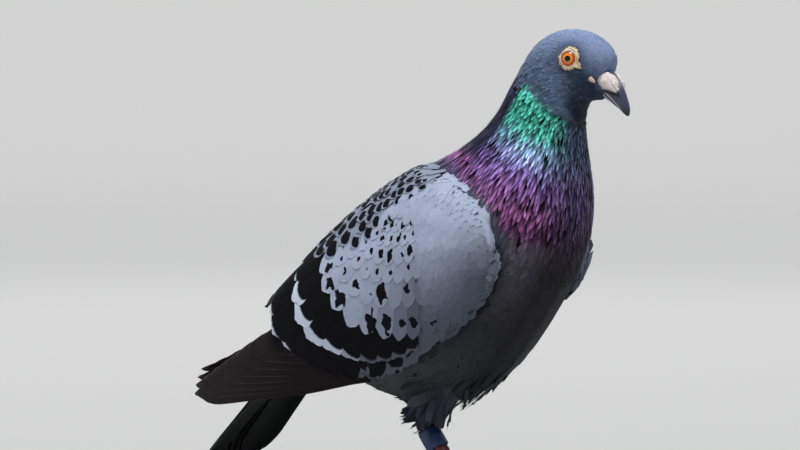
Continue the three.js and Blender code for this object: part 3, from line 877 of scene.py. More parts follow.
class Sheet:
    """The outer face of some solids as heights over a plane, carried on past their edges."""

    def __init__(self, nodes, ahead, rise, out, cell=1.5 * MM, margin=26 * MM):
        self.ahead, self.rise, self.out = (np.array(axis, dtype=float) for axis in (ahead, rise, out))
        self.cell = cell
        self.side = 0
        piece = copy_of("pattern", nodes)
        solid = Surface(piece)
        bpy.data.objects.remove(piece)
        x, t = solid.points @ self.ahead, solid.points @ self.rise
        self.start = np.array([x.min() - margin, t.min() - margin])
        across = np.arange(self.start[0], x.max() + margin, cell)
        along = np.arange(self.start[1], t.max() + margin, cell)
        grid_x, grid_t = np.meshgrid(across, along, indexing="ij")
        height = np.full(grid_x.shape, np.nan)
        for i, j in np.ndindex(grid_x.shape):
            origin = self.ahead * grid_x[i, j] + self.rise * grid_t[i, j] + self.out * FAR
            hit = solid.tree.ray_cast(origin.tolist(), (-self.out).tolist())
            if hit[0] is not None:
                height[i, j] = FAR - hit[3]
        gx, gt = np.gradient(height, cell)
        known = np.isfinite(gx) & np.isfinite(gt) & (np.hypot(gx, gt) < 1.7)
        u = (grid_x - grid_x[known].mean()) / 0.05
        v = (grid_t - grid_t[known].mean()) / 0.05
        terms = np.stack([np.ones_like(u), u, v, u * u, u * v, v * v], axis=-1)
        trend = terms @ np.linalg.lstsq(terms[known], height[known], rcond=None)[0]
        rest = np.where(known, height - trend, 0.0)
        for _ in range(160):
            rest = np.where(known, height - trend, self.blurred(rest))
        for _ in range(3):
            rest = self.blurred(rest)
        self.height = trend + rest
        self.slope_x, self.slope_t = np.gradient(self.height, cell)

    def blurred(self, field):
        wide = np.pad(field, 1, mode="edge")
        return (wide[:-2, 1:-1] + wide[2:, 1:-1] + wide[1:-1, :-2] + wide[1:-1, 2:]
                + 2 * field) / 6

    def __call__(self, places):
        x = (places @ self.ahead - self.start[0]) / self.cell
        t = (places @ self.rise - self.start[1]) / self.cell
        i = np.clip(np.floor(x).astype(int), 0, self.height.shape[0] - 2)
        j = np.clip(np.floor(t).astype(int), 0, self.height.shape[1] - 2)
        fx, ft = np.clip(x - i, 0, 1), np.clip(t - j, 0, 1)

        def read(field):
            return ((field[i, j] * (1 - fx) + field[i + 1, j] * fx) * (1 - ft)
                    + (field[i, j + 1] * (1 - fx) + field[i + 1, j + 1] * fx) * ft)

        flat = places - self.out * (places @ self.out)[..., None]
        hits = flat + self.out * read(self.height)[..., None]
        if self.side:
            over = np.maximum(0, 2 * MM - hits[..., 1] * self.side)
            hits[..., 1] += self.side * over
            hits[..., 2] -= over
        facing = unit(self.out - self.ahead * read(self.slope_x)[..., None]
                      - self.rise * read(self.slope_t)[..., None])
        return hits, facing


def covert_finish(name, ink, turn, sides, depth, roughness=0.65):
    """Pale feathers, each with a dark mark near its tip and a rim that stays pale. sides is the
    rim's width along the sides, as a share of its width at the tip."""
    finish = Finish(name, Specular_IOR_Level=0.06, Roughness=roughness)
    times, plus, minus, between = finish.times, finish.plus, finish.minus, finish.between
    across, along = finish.map("Vane")
    beside = minus(across, 0.5)
    off = times(finish.math("ABSOLUTE", beside), 2.0)
    barbs = finish.barbs(along, off, 0.22, 260.0)
    place = finish.place()
    grain = finish.noise(place, 700.0, 4.0)
    uneven = minus(finish.noise(place, 260.0, 1.0), 0.5)
    wobble = minus(grain, 0.5)
    reach = finish.math("DIVIDE", finish.math("ABSOLUTE", minus(along, 0.79)), 0.19)
    spread = finish.math("ABSOLUTE", minus(beside, finish.number("Lean")))
    gap = plus(finish.math("POWER", reach, 1.2), finish.math("POWER", times(spread, 2.5), 1.2))
    gap = plus(finish.math("POWER", gap, 0.833), plus(times(wobble, 0.2), times(uneven, 1.3)))
    size = finish.number("Mark")
    mark = times(finish.rise(minus(size, gap), -0.05, 0.05), finish.rise(size, 0.02, 0.08))
    outline = finish.math("SQRT", finish.math("MAXIMUM", 0.0, minus(1.0, times(off, off))))
    outline = plus(turn, times(outline, 1 - turn))
    fringe = finish.number("Fringe")
    rim = minus(minus(minus(outline, along), times(wobble, 0.016)), fringe)
    side = minus(minus(1.02, off), times(fringe, sides))
    inside = times(finish.rise(rim, -0.012, 0.012), finish.rise(side, -0.02, 0.02))
    # depth darkens each feather towards its root: painted shade where it runs under the feathers
    # above it
    shade = between(finish.rise(along, 0.2, 0.95), 1 - depth, 1.03)
    shade = times(shade, between(barbs, 0.975, 1.02))
    shade = times(shade, between(grain, 0.92, 1.08))
    shade = times(shade, plus(1.0, times(finish.number("Tone"), 0.035)))
    colour = finish.mix(finish.colour("Tint"), ink, times(mark, inside))
    finish.set("Base Color", finish.scaled(colour, shade))
    finish.bump(barbs, 0.15)
    return finish.material


coverts = covert_finish("covert feathers", INK, COVERT_TURN, 0.7, 0.06)
smooth_coverts = covert_finish("smooth coverts", INK, COVERT_TURN, 0.7, 0.02)
flights = covert_finish("barred feathers", rgb("0e0e13"), BAR_TURN, 0.0, 0.0)
quills = covert_finish("wing tip feathers", rgb("1f1b1c"), 0.8, 4.0, 0.0, 0.5)
steering = covert_finish("tail feathers", rgb("0f1013"), 0.8, 0.6, 0.0, 0.5)

# The size of a mark that covers a whole feather.
ALL_DARK = 9.0

# Reach of the wing's rows in mm at angles in degrees below straight back, seen from the shoulder.
SHIELD = ((-60, 84), (31, 84), (39, 87), (47, 87), (54, 86), (61, 82), (69, 78), (83, 72), (90, 70),
          (104, 65), (115, 62), (123, 58), (130, 52), (134, 40), (140, 20), (180, 10))
GREATER = ((10, 92), (22, 99), (28, 104), (35, 108), (39, 109), (43, 107), (48, 102), (56, 95),
           (65, 87), (74, 80))
REAR = ((12, 104), (20, 116), (27, 123), (33, 126), (39, 120), (48, 109), (56, 100))
WRIST = ((50, 105), (56, 102), (62, 96), (70, 88), (78, 80), (86, 74))
BACK_EDGE = ((0, 90), (11, 75), (18, 67), (29, 53), (41, 41), (51, 32), (65, 28), (82, 33), (95, 24))

# Rows of the shield from its edge inwards: share of the shield's reach, first and last angle, and
# the size of the dark mark on each feather.
SHIELD_ROWS = (
    (1.00, 33, 99, (1.5, 2, 3, 0, 3, 2.2, 1, 1, 1.3, 0, 0)),
    (0.87, 36, 99, (0.6, 0.6, 2.0, 0.5, 3, 0, 1.2, 2.6, 0.4, 0)),
    (0.76, 40, 99, (0.6, 0.5, 0.6, 0.4, 0.5, 0, 0.5, 0.8, 0.4, 0)),
    (0.67, 44, 100, (0.7, 1.4, 1.2, 2.4, 0.6, 1.6, 2.4, 0.6, 2.6)),
    (0.58, 48, 100, (1.6, 1.9, 1.2, 2.2, 1.6, 1.9, 1.2, 1.3, 0)),
    (0.50, 50, 101, (2.2, 2.0, 0.9, 2.4, 1.2, 1.4, 0.8, 0.5, 0)),
    (0.42, 52, 101, (0.8, 1.2, 0.5, 0.8, 0.6, 0, 0, 0)),
)


class Wing:
    """A folded wing: rows of feathers that radiate from a place near the shoulder."""

    def __init__(self, name):
        self.name = name
        self.side = SIDES[name]
        tilt = math.radians(35)
        nodes = [f"wing_{part}_{name}" for part in ("scapulars", "coverts", "secondaries")]
        self.sheet = Sheet(nodes, (1, 0, 0), (0, -self.side * math.sin(tilt), math.cos(tilt)),
                           (0, self.side * math.cos(tilt), math.sin(tilt)))
        self.sheet.side = self.side
        low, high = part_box(f"wing_coverts_{name}")
        inner = min(abs(low.y), abs(high.y))
        top = np.array([0, self.side * inner, high.z + 5 * MM])
        self.centre = (self.sheet.ahead * (high.x - 35 * MM)
                       + self.sheet.rise * (top @ self.sheet.rise))
        angle, radius = self.polar(middles)
        self.on_wing = (to_wing < 3 * MM) * (middles[:, 1] * self.side > 0)
        self.on_back = angle < np.interp(radius / MM, *zip(*BACK_EDGE))

    def polar(self, points):
        """Angle below straight back and distance of points from the centre."""
        across = (points - self.centre) @ self.sheet.ahead
        along = (points - self.centre) @ self.sheet.rise
        return np.degrees(np.arctan2(-along, -across)), np.hypot(across, along)

    def heading(self, angles):
        """Directions on the wing's plane at angles in degrees below straight back."""
        angles = np.radians(angles)[:, None]
        return -self.sheet.ahead * np.cos(angles) - self.sheet.rise * np.sin(angles)

    def row(self, vane, count, span, tips, length, width, low=0.0, lift=1 * MM, scale=1.0):
        """A row whose tips lie on the line through (angle, reach) stops around the centre."""
        angles = np.linspace(*span, count) + draw.normal(0, 0.04, count) * (span[1] - span[0]) / count
        reach = np.interp(angles, *zip(*tips)) * scale * MM
        heading = self.heading(np.minimum(angles, 80))
        ends = self.centre + self.heading(angles) * reach[:, None]
        length = np.interp(angles, *zip(*length)) * MM if np.ndim(length) else length
        roots = ends - heading * np.reshape(length, (-1, 1))
        facing = np.tile(self.sheet.out, (count, 1))
        batch = self.finished(Feathers(vane, roots, heading, facing, length, width), low, lift)
        batch.camber = 0.0
        return batch

    def finished(self, batch, low, lift):
        zero = np.zeros(len(batch.roots))
        batch.low = zero + low
        batch.lift = zero + lift
        batch.camber = 0.02
        batch.fray = 0.02
        batch.thick = 0.08 * MM
        batch.roll = self.side * 0.014
        batch.extra.update(mark=zero.copy(), fringe=zero.copy(), lean=zero + self.side * 0.15)
        return batch

    def spread(self, vane, region, spacing, heading, length, width, low, lift, tries):
        """Feathers scattered over a region of the wing's skin."""
        roots = ground.scatter(lambda points: region * 1.0, spacing, tries)
        angle, radius = self.polar(roots)
        facing = ground.nearest(roots)[1]
        size = np.interp(radius / MM, *length) * MM
        batch = Feathers(vane, roots, self.heading(heading(angle)), facing, size, size * width)
        batch = self.finished(batch.turned(0.06), low, lift)
        batch.roll = 0.0
        batch.extra["lean"][:] = 0
        return batch

    def pale(self, points, colour):
        """A pale colour that falls to a darker grey towards the front of the wing's lower edge:
        painted shade where the wing turns down, away from the light.
        """
        angle, radius = self.polar(points)
        share = radius / MM / np.interp(angle, *zip(*SHIELD))
        # painted shade over the lower front of the wing, eased off towards the front edge
        painted_shade = ramp(angle, 52, 84) * ramp(share, 0.58, 1.0) * (1 - 0.8 * ramp(angle, 114, 134))
        return blend_to(colour, colour * 0.2, painted_shade)


def dress_wing(wing):
    """One wing's rows of coverts, its smooth shoulder, its back and its two dark bars."""
    angle, radius = wing.polar(middles)
    shield_edge = np.interp(angle, *zip(*SHIELD)) * MM
    batches = []
    for n, (scale, first, last, marks) in enumerate(SHIELD_ROWS):
        length = (28 - 14 * (1 - scale) / 0.74) * MM
        width = 1.55 * math.radians(last - first) / len(marks) * 76 * scale * MM
        row = wing.row(COVERT, len(marks), (first, last), SHIELD, length, width,
                       (0.3 + 0.06 * n) * MM, 0.5 * MM, scale)
        row.fray = 0.004
        row.extra["mark"][:] = np.where(np.array(marks) > 0, np.array(marks) * 0.22 + 0.12, 0)
        row.extra["lean"][:] += draw.uniform(-0.16, 0.16, len(marks))
        batches.append(row)
    wrist = wing.row(FLIGHT, 6, (55, 86), WRIST, 40 * MM, 19 * MM, -0.7 * MM, 0.6 * MM)
    wrist.fray = 0.005
    wrist.extra["mark"][:] = (0.9, 1.0, 0.8, 0.6, 0, 0)
    batches.append(wrist)
    for batch in batches:
        tips = batch.roots + batch.along * batch.length[:, None] * 0.85
        batch.colour = wing.pale(tips, PALE)
    wrist.colour[:] = rgb("565b66")
    piece = feather_piece(f"wing_coverts_{wing.name}_feathers", batches, wing.sheet, ground)
    dress(piece, coverts, "plumage_chequered")

    front = wing.spread(CONTOUR, wing.on_wing * ~wing.on_back * (radius < shield_edge)
                        * ((angle > draw.normal(94, 4, len(angle))) | (radius < 27 * MM)),
                        lambda points: np.interp(distance(flesh_solid, points) / MM, [1, 8],
                                                 [1.8, 3.0]) * MM,
                        lambda angles: np.interp(angles, [0, 50, 80, 95, 135], [50, 50, 80, 78, 52]),
                        ([0, 60], [8, 11]), 0.6, 0.0, 0.12 * MM, 12000)
    inland = distance(flesh_solid, front.roots) / MM
    front.low = (0.5 + 2.2 * ramp(inland, 1.0, 9.0)) * MM
    front.thick = 0.05 * MM
    front.fray = 0.03
    front.length *= 0.5 + 0.5 * ramp(inland, 1, 8)
    front.width *= 0.6 + 0.4 * ramp(inland, 1, 8)
    front.only(inland > 0.6)
    front.colour = wing.pale(front.roots + front.along * front.length[:, None] * 0.85, PALE)
    back = wing.spread(COVERT, wing.on_wing * wing.on_back
                       * ((radius < 70 * MM) | ((angle < 11) & (radius < 96 * MM))),
                       lambda points: np.interp(wing.polar(points)[1] / MM, [0, 20, 50, 90],
                                                [3.0, 4.0, 6.0, 8.0]) * MM,
                       lambda angles: np.clip(angles, 4, 60), ([0, 20, 50, 90], [9, 12, 18, 24]),
                       0.5, 1.5 * MM, 1.0 * MM, 3000)
    back.colour = np.tile(DULL, (len(back.roots), 1))
    back_radius = wing.polar(back.roots)[1] / MM
    back.extra["mark"][:] = draw.uniform(1.1, 1.9, len(back.roots)) * ramp(back_radius, 2, 12)
    back.extra["fringe"][:] = 0.09
    piece = feather_piece(f"wing_shoulder_{wing.name}_feathers", [front], ground.nearest, ground)
    dress(piece, smooth_coverts, "plumage_chequered")
    piece = feather_piece(f"wing_back_{wing.name}_feathers", [back], ground.nearest, ground)
    dress(piece, coverts, "plumage_chequered")

    bars = []
    for tips, count, span, length, width, low, fringe in (
            (GREATER, 12, (16, 74), 46, 19, 0.0, ((16, 0), (22, 0), (27, 0.03), (33, 0.12), (44, 0.1),
                                                  (52, 0.05))),
            (REAR, 7, (24, 50), ((13, 44), (20, 50), (33, 66)), 30, -0.7, (
                (24, 0), (27, 0.022), (38, 0.022), (41, 0)))):
        length = length * MM if np.ndim(length) == 0 else length
        angles = np.linspace(*span, count)
        width = width * np.interp(angles, (22, 42), (0.45, 1)) * MM
        bar = wing.row(BAR, count, span, tips, length, width, low * MM, 0.7 * MM)
        bar.fray = 0.004
        bar.colour = blend_to(WHITE, rgb("5b606c"), ramp(angles, 46, 60))
        bar.extra["mark"][:] = ALL_DARK
        bar.extra["fringe"][:] = np.interp(angles, *zip(*fringe))
        bars.append(bar)
    for label, bar, nodes in (("greater", bars[0], ()),
                              ("secondary", bars[1], (f"wing_secondaries_{wing.name}",))):
        piece = feather_piece(f"wing_{label}_{wing.name}_feathers", [bar], wing.sheet, ground)
        dress(piece, flights, "flight_feathers", *nodes)


for name in SIDES:
    dress_wing(Wing(name))


# ---------------------------------------------------------------------------------------------
# Long feathers of the wing tips and the tail
# ---------------------------------------------------------------------------------------------

BLADE = Vane(columns=9, rows=20, root=0.5, turn=0.8, tip=0.3)


def blades(roots, ends, out, width, low):
    """Long stiff feathers from roots to ends on a plane."""
    span = ends - roots
    length = np.linalg.norm(span, axis=1)
    batch = Feathers(BLADE, roots, unit(span), np.tile(out, (len(roots), 1)), length, width)
    zero = np.zeros(len(roots))
    batch.low = zero + low
    batch.lift = zero + 0.3 * MM
    batch.camber = 0.04
    batch.fray = 0.004
    batch.thick = 0.35 * MM
    batch.colour = np.tile(rgb("383132"), (len(roots), 1))
    batch.extra.update(mark=zero + ALL_DARK, fringe=zero + 0.018, lean=zero)
    return batch


def dress_wing_tip(name):
    side = SIDES[name]
    node = f"wing_primaries_{name}"
    low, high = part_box(node)
    sheet = Sheet([node], (1, 0, 0), (0, 0, 1), (0, side, 0), margin=20 * MM)
    share = np.linspace(0, 1, 8)
    still = np.zeros(8)
    ends = np.stack([low.x + np.interp(share, [0, 0.15, 1], [-7, -5, 54]) * MM, still,
                     low.z + np.interp(share, [0, 1], [0, 33]) * MM], axis=1)
    roots = np.stack([np.full(8, high.x + 6 * MM), still,
                      low.z + np.interp(share, [0, 1], [16, 30]) * MM], axis=1)
    batch = blades(roots, ends, sheet.out, 15 * MM, np.interp(share, [0, 1], [-4.5, -0.4]) * MM)
    piece = feather_piece(f"wing_primary_{name}_feathers", [batch], sheet, ground)
    dress(piece, quills, "flight_feathers", node)


for name in SIDES:
    dress_wing_tip(name)


def dress_tail():
    low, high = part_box("tail")
    pitch = math.radians(48)
    sheet = Sheet(["tail"], (math.cos(pitch), 0, math.sin(pitch)), (0, 1, 0),
                  (-math.sin(pitch), 0, math.cos(pitch)), margin=20 * MM)
    count = 12
    fan = np.linspace(-1, 1, count)
    end = np.array([low.x + 1 * MM, 0, low.z + 2 * MM])
    root = end + sheet.ahead * 112 * MM
    end = end - sheet.ahead * 10 * MM
    ends = end + sheet.ahead * (np.abs(fan) * 6 * MM)[:, None] + sheet.rise * (fan * 18 * MM)[:, None]
    roots = root + sheet.rise * (fan * 6 * MM)[:, None]
    batch = blades(roots, ends, sheet.out, 22 * MM, -0.2 * MM - np.abs(fan) * 3.6 * MM)
    batch.lift[:] = 4 * MM
    batch.colour[:] = rgb("24252b")
    batch.extra["fringe"][:] = 0.02
    piece = feather_piece("tail_feathers", [batch], sheet, ground)
    dress(piece, steering, "flight_feathers", "tail")


dress_tail()


# ---------------------------------------------------------------------------------------------
# Head: eyes, bare rings, bill and ceres
# ---------------------------------------------------------------------------------------------

def steps_of(finish, value, *stops):
    """A colour that runs through stops of (place, code)."""
    node = finish.add("ValToRGB", value)
    steps = node.color_ramp.elements
    while len(steps) < len(stops):
        steps.new(0.5)
    for step, (place, code) in zip(steps, stops):
        step.position = place
        step.color = (*rgb(code), 1)
    return node.outputs["Color"]


def eye_finish():
    finish = Finish("eye", Roughness=0.35, Specular_IOR_Level=0.2, Coat_Weight=0.6,
                    Coat_Roughness=0.03)
    place = finish.place()
    streaks = finish.noise(place, 1800.0, 3.0)
    ring = finish.plus(finish.number("Ring"), finish.times(finish.minus(streaks, 0.5), 0.05))
    colour = steps_of(finish, ring, (0.0, "030304"), (0.27, "030304"), (0.31, "5a240c"),
                      (0.36, "f0a03c"), (0.46, "ee8a2c"), (0.60, "de5f1e"), (0.74, "c43d18"),
                      (0.84, "7e2010"), (0.92, "1c0808"), (1.0, "120808"))
    finish.set("Base Color", finish.scaled(colour, finish.between(streaks, 0.8, 1.2)))
    return finish.material


def ring_finish():
    finish = Finish("bare eye ring", Roughness=0.6, Specular_IOR_Level=0.35)
    place = finish.place()
    spots = finish.noise(place, 1400.0, 4.0)
    folds = finish.noise(place, 500.0, 2.0)
    blush = finish.times(finish.number("Blush"), finish.rise(folds, 0.25, 0.6))
    colour = finish.mix(rgb("e6dcb4"), rgb("d09c80"), blush)
    # painted shade: dark brown down in the folds, and painted shadow of the feathers along the ring's
    # outer border
    colour = finish.mix(colour, rgb("4a3a2c"), finish.number("RingShade"))
    finish.set("Base Color", finish.scaled(colour, finish.between(spots, 0.75, 1.15)))
    finish.bump(spots, 0.5)
    return finish.material


eye_material = eye_finish()
lid_material = ring_finish()


def make_eye(name, side):
    low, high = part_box(f"eye_{name}")
    centre = np.array((low + high) / 2)
    radius = (high.z - low.z) / 2
    axis = unit(np.array([0.25, side * 0.96, 0.04]))
    eye = ball(f"eyeball_{name}", np.zeros(3), np.full(3, radius), 64, 48)
    turn = np.array(Vector((0, 0, 1)).rotation_difference(Vector(axis)).to_matrix())
    points = corners(eye) @ turn.T
    gap = np.arccos(np.clip(unit(points) @ axis, -1, 1)) / math.radians(50)
    move_corners(eye, points + centre)
    weight(eye, "Ring", np.clip(gap, 0, 1))
    dress(eye, eye_material, "eye_wet", f"eye_{name}")

    ahead = unit(np.array([1.0, 0, 0]) - axis * axis[0])
    up = np.cross(ahead, axis)
    up = up * np.sign(up[2])
    bpy.ops.mesh.primitive_torus_add(major_segments=120, minor_segments=28, major_radius=1,
                                     minor_radius=0.3)
    lid = bpy.context.object
    lid.name = f"eye_ring_{name}"
    points = corners(lid)
    away = np.hypot(points[:, 0], points[:, 1])
    around = np.arctan2(points[:, 1], points[:, 0])
    tube = np.arctan2(points[:, 2], away - 1)
    spoke = ahead * np.cos(around)[:, None] + up * np.sin(around)[:, None]

    def lobe(at, spread):
        gap = (np.degrees(around) - at + 180) % 360 - 180
        return np.exp(-(gap / spread) ** 2)

    inner = (3.45 + 0.12 * lobe(60, 50) + 0.04 * np.sin(11 * around)) * MM
    outer = (5.2 + 1.2 * lobe(62, 38) + 3.0 * lobe(-33, 14) + 0.6 * lobe(-85, 30)
             + 0.5 * lobe(8, 25) - 0.5 * lobe(130, 22) + 0.18 * np.sin(9 * around)
             + 0.16 * np.sin(17 * around + 1) + 0.1 * np.sin(31 * around)) * MM
    share = (np.cos(tube) + 1) / 2
    reach = inner + (outer - inner) * share
    on_ball = math.sqrt(radius ** 2 - (3.5 * MM) ** 2) + 0.1 * MM
    on_skin = np.zeros(len(points))
    for n in range(len(points)):
        start = centre + spoke[n] * outer[n] + axis * 0.02
        hit = ground.tree.ray_cast(start.tolist(), (-axis).tolist())
        on_skin[n] = 0.02 - hit[3] if hit[0] is not None else 0
    height = on_ball * (1 - share) + (on_skin + 0.35 * MM) * share
    above = np.maximum(np.sin(tube), 0)
    folds = np.sin(2 * math.pi * share * 2.1 + 1.3 * np.sin(3 * around) + 0.9 * np.sin(7 * around)
                   ) * (0.55 + 0.45 * np.sin(5 * around + 2))
    beads = np.sin(40 * around + 3 * folds)
    height += (0.5 * np.sin(tube) + above * (0.32 * folds + 0.12 * beads)) * MM
    points = centre + spoke * reach[:, None] + axis * height[:, None]
    move_corners(lid, points)
    if np.dot(np.cross(ahead, up), axis) < 0:
        edit(lid, lambda: bpy.ops.mesh.flip_normals())
    weight(lid, "Blush", np.clip(ramp(share, 0.5, 1.0) * 0.5 + lobe(-40, 35) * 0.9
                                 + lobe(200, 40) * 0.5, 0, 1))
    # painted shade in the folds of the upper ring, and painted shadow of the feathers along its outer
    # border
    weight(lid, "RingShade", np.clip(above * ramp(-folds - 0.3 * beads, 0.1, 0.9) * 0.65
                                  + ramp(share + 0.05 * np.sin(23 * around), 0.86, 0.98), 0, 1))
    dress(lid, lid_material, "cere_skin")


for name, side in SIDES.items():
    make_eye(name, side)


def plain(name, code, roughness, amount=0.12, size=900.0, bump=0.2, **constants):
    finish = Finish(name, Roughness=roughness, **constants)
    spots = finish.noise(finish.place(), size, 4.0)
    finish.set("Base Color", finish.scaled(rgb(code), finish.between(spots, 1 - amount, 1 + amount)))
    finish.bump(spots, bump)
    return finish.material


powder = plain("powdery cere", "e2d6d3", 0.9, 0.5, 1100.0, 1.0)
flush = plain("bare gape skin", "cfae9f", 0.7, 0.4, 1100.0, 0.5)
# The nostril's near black is painted shade inside its opening.
dark = plain("nostril", "0b0a0c", 0.7)
scales = plain("leg scales", "7d3a3c", 0.5)
claw = plain("claw horn", "29262a", 0.35)
plastic = plain("ring plastic", "172d55", 0.35, 0.05)


def smooth_part(name, nodes, voxel, smoothing, material, slot):
    return dress(grown(name, nodes, voxel, smoothing), material, slot, *nodes)


def bill_finish():
    finish = Finish("bill horn", Roughness=0.28, Specular_IOR_Level=0.5)
    spots = finish.noise(finish.place(), 900.0, 4.0, (1.0, 1.0, 2.5))
    finish.set("Base Color", finish.scaled(finish.colour("Tint"), finish.between(spots, 0.6, 1.4)))
    finish.bump(spots, 0.25)
    return finish.material


def make_bill():
    """Both halves of the bill, with a pale line along the edges where they meet."""
    horn = bill_finish()
    solids = {}
    for node in ("bill_upper", "bill_lower", "cere_right", "cere_left"):
        copy = copy_of("pattern", [node])
        solids[node] = Surface(copy)
        bpy.data.objects.remove(copy)
    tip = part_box("bill_upper")[0].z
    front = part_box("bill_upper")[1].x
    halves = []
    for name, node, other in (("bill_top", "bill_upper", "bill_lower"),
                              ("bill_bottom", "bill_lower", "bill_upper")):
        half = grown(name, [node], 0.35 * MM, 6)
        points = corners(half)
        gap = distance(solids[other], points) / MM
        under = np.minimum(*(distance(solids[cere], points) for cere in ("cere_right", "cere_left")))
        line = ramp(gap, 0.25, 0.5) * (1 - ramp(gap, 0.9, 1.3))
        if node == "bill_upper":
            line = ramp(gap, 0.9, 1.2) * (1 - ramp(gap, 1.7, 2.1))
        dusty = (1 - ramp(under / MM, 0.5, 4.0)) * 0.5 * (node == "bill_upper")
        dusty = dusty * (1 - ramp(np.abs(points[:, 1]), 1.2 * MM, 3 * MM))
        colour = blend_to(rgb("43465b"), rgb("121318"), 1 - ramp(points[:, 2] - tip, 0, 6 * MM))
        colour = blend_to(colour, rgb("c3c6d4"), dusty)
        colour = blend_to(colour, rgb("cdd0dc"), line * 0.85)
        # painted shade: near black in the narrow groove where the two halves meet
        colour = blend_to(colour, rgb("060607"), 1 - ramp(gap, 0.05, 0.25))
        tint(half, colour)
        points[:, 2] -= 1.6 * MM * ramp(points[:, 0], front - 13 * MM, front) ** 2
        move_corners(half, points)
        halves.append(dress(half, horn, "bill_horn", node))
    return halves


bill_face = Surface(make_bill()[0])


def tipped(points, degrees):
    """Points turned so that their front end dips."""
    lean = math.radians(degrees)
    x, y, z = points.T
    return np.stack([x * math.cos(lean) + z * math.sin(lean), y,
                     z * math.cos(lean) - x * math.sin(lean)], axis=1)


def make_cere(name, side):
    """One powdery lobe at the root of the bill, with a nostril slit under it."""
    low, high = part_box(f"cere_{name}")
    middle = np.array((low + high) / 2)
    lobe = ball(f"cere_lobe_{name}", np.zeros(3), np.ones(3), 72, 54)
    a, b, c = corners(lobe).T
    a = np.sign(a) * np.abs(a) ** 0.85
    lumps = 1 + 0.03 * (np.sin(9 * a + 1) * np.sin(8 * c) + 0.7 * np.sin(17 * a + 13 * c)
                        + 0.5 * np.sin(31 * a - 19 * c + 5 * b))
    shape = np.stack([6.4 * a, 3.1 * b * (1 - 0.15 * a), 4.7 * c * (1 + 0.34 * a) - 2.6 * a],
                     axis=1) * lumps[:, None]
    centre = np.array([middle[0] - 1.4 * MM, side * 2.8 * MM, middle[2] + 0.3 * MM])
    move_corners(lobe, shape * MM + centre)
    dress(lobe, powder, "cere_skin", f"cere_{name}")
    # The near-black slit under the lobe is painted shade, standing for the dark inside of the
    # nostril.
    slit = ball(f"nostril_{name}", np.zeros(3), np.array([4.3, 1.0, 0.9]) * MM, 32, 16)
    beside = middle + np.array([2.2, side * 4, -5.0]) * MM
    place = bill_face.nearest(beside[None])[0][0]
    shape = tipped(corners(slit), 17)
    shape[:, 1] -= side * 0.3 * shape[:, 0]
    move_corners(slit, shape + place + np.array([0, side * 0.5, 0]) * MM)
    dress(slit, dark, "bill_horn")
    fold = ball(f"gape_skin_{name}", np.zeros(3), np.ones(3), 48, 32)
    a, b, c = corners(fold).T
    lumps = 1 + 0.1 * np.sin(11 * a) * np.sin(9 * c + 1)
    shape = np.stack([3.0 * a, 0.9 * b, 1.2 * c * (1 - 0.35 * a)], axis=1) * lumps[:, None]
    beside = middle + np.array([-3.2, side * 8, -0.4]) * MM
    place = ground.nearest(beside[None])[0][0]
    move_corners(fold, tipped(shape, 35) * MM + place)
    dress(fold, flush, "cere_skin")


for name, side in SIDES.items():
    make_cere(name, side)


# ---------------------------------------------------------------------------------------------
# Legs and ring
# ---------------------------------------------------------------------------------------------

def scuted(piece, travel):
    """Raises bands of scales across a leg or a toe; travel is each corner's way along it."""
    facing = np.array([list(vertex.normal) for vertex in piece.data.vertices])
    bands = np.abs(np.sin(math.pi * travel / (2.1 * MM))) ** 0.6 - 0.6
    move_corners(piece, corners(piece) + facing * (0.3 * MM * bands)[:, None])


for name in SIDES:
    toes, claws = ([f"{kind}_{part}_{name}" for part in ("inner", "middle", "outer", "hind")]
                   for kind in ("toe", "claw"))
    leg = smooth_part(f"leg_{name}", [f"tarsus_{name}"], 0.4 * MM, 4, scales, "leg_scales")
    scuted(leg, corners(leg)[:, 2])
    foot = np.array(sum(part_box(f"tarsus_{name}"), Vector()) / 2)[:2]
    for node in toes:
        toe = smooth_part(node + "_skin", [node], 0.4 * MM, 4, scales, "leg_scales")
        scuted(toe, np.linalg.norm(corners(toe)[:, :2] - foot, axis=1))
    for node in claws:
        smooth_part(node + "_horn", [node], 0.25 * MM, 4, claw, "claw_horn")

ring = copy_of("leg_ring", ["leg_band"])
dress(ring, plastic, "ring_plastic", "leg_band")


# ---------------------------------------------------------------------------------------------
# Studio
# ---------------------------------------------------------------------------------------------

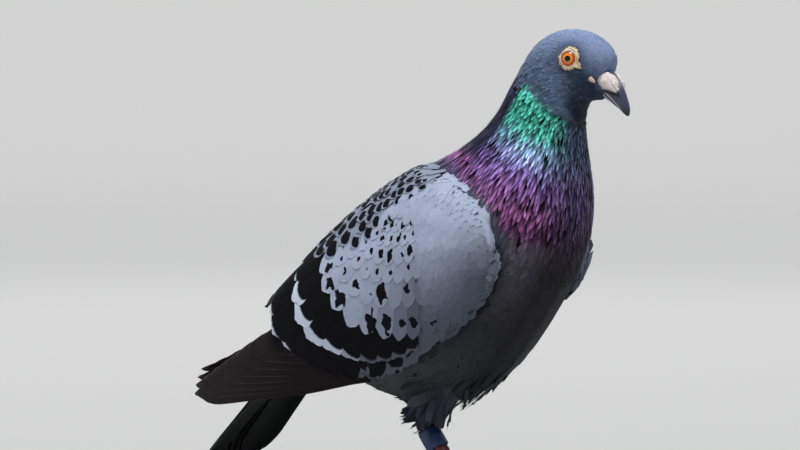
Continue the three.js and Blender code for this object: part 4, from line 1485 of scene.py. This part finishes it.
# The floor runs up all round into a wide bowl, so that no edge shows behind the bird.
bpy.ops.mesh.primitive_grid_add(x_subdivisions=140, y_subdivisions=140, size=26)
floor = bpy.context.object
floor.name = "floor"
flat = corners(floor)
away = np.hypot(flat[:, 0], flat[:, 1])
BEND = 5
WALL = 10
climb = np.clip(away - BEND, 0, BEND)
flat[:, 2] = BEND - np.sqrt(BEND ** 2 - climb ** 2) + np.maximum(away - WALL, 0)
flat[:, :2] *= np.minimum(1, WALL / np.maximum(away, 1))[:, None]
move_corners(floor, flat)
for polygon in floor.data.polygons:
    polygon.use_smooth = True
floor_finish = Finish("floor", Roughness=0.8, Base_Color=(0.5, 0.5, 0.49, 1))
floor.data.materials.append(floor_finish.material)

LOW = SOLID_BOX[0]
AIM = Vector((LOW.x + 134.8 * MM, LOW.y + 37.8 * MM, 129 * MM))
turn, lift, away = math.radians(35), math.radians(2), 1.6
camera_data = bpy.data.cameras.new("camera")
camera_data.sensor_width = 36
camera_data.lens = 147.6
camera = bpy.data.objects.new("camera", camera_data)
bpy.context.scene.collection.objects.link(camera)
camera.location = AIM + away * Vector((math.sin(turn) * math.cos(lift),
                                       -math.cos(turn) * math.cos(lift), math.sin(lift)))
camera.rotation_euler = (AIM - camera.location).to_track_quat("-Z", "Y").to_euler()
bpy.context.scene.camera = camera


def lamp(name, place, size, power):
    """A soft square lamp that looks at the bird."""
    data = bpy.data.lights.new(name, "AREA")
    data.size = size
    data.energy = power
    light = bpy.data.objects.new(name, data)
    bpy.context.scene.collection.objects.link(light)
    light.location = AIM + Vector(place)
    light.rotation_euler = (AIM - light.location).to_track_quat("-Z", "Y").to_euler()


key = bpy.data.objects.new("key", bpy.data.lights.new("key", "SUN"))
key.data.energy = 3.1
key.data.angle = 0.35
bpy.context.scene.collection.objects.link(key)
key.rotation_euler = Vector((-0.42, 0.55, -1.9)).to_track_quat("-Z", "Y").to_euler()
lamp("fill", (-1.2, -1.6, 0.7), 1.6, 3)
lamp("rim", (-0.9, 1.2, 1.4), 1.2, 7)
world = bpy.data.worlds.new("studio")
world.use_nodes = True
world.node_tree.nodes["Background"].inputs["Color"].default_value = (0.8, 0.87, 1.0, 1)
world.node_tree.nodes["Background"].inputs["Strength"].default_value = 0.24
bpy.context.scene.world = world
bpy.context.scene.view_settings.view_transform = "Standard"
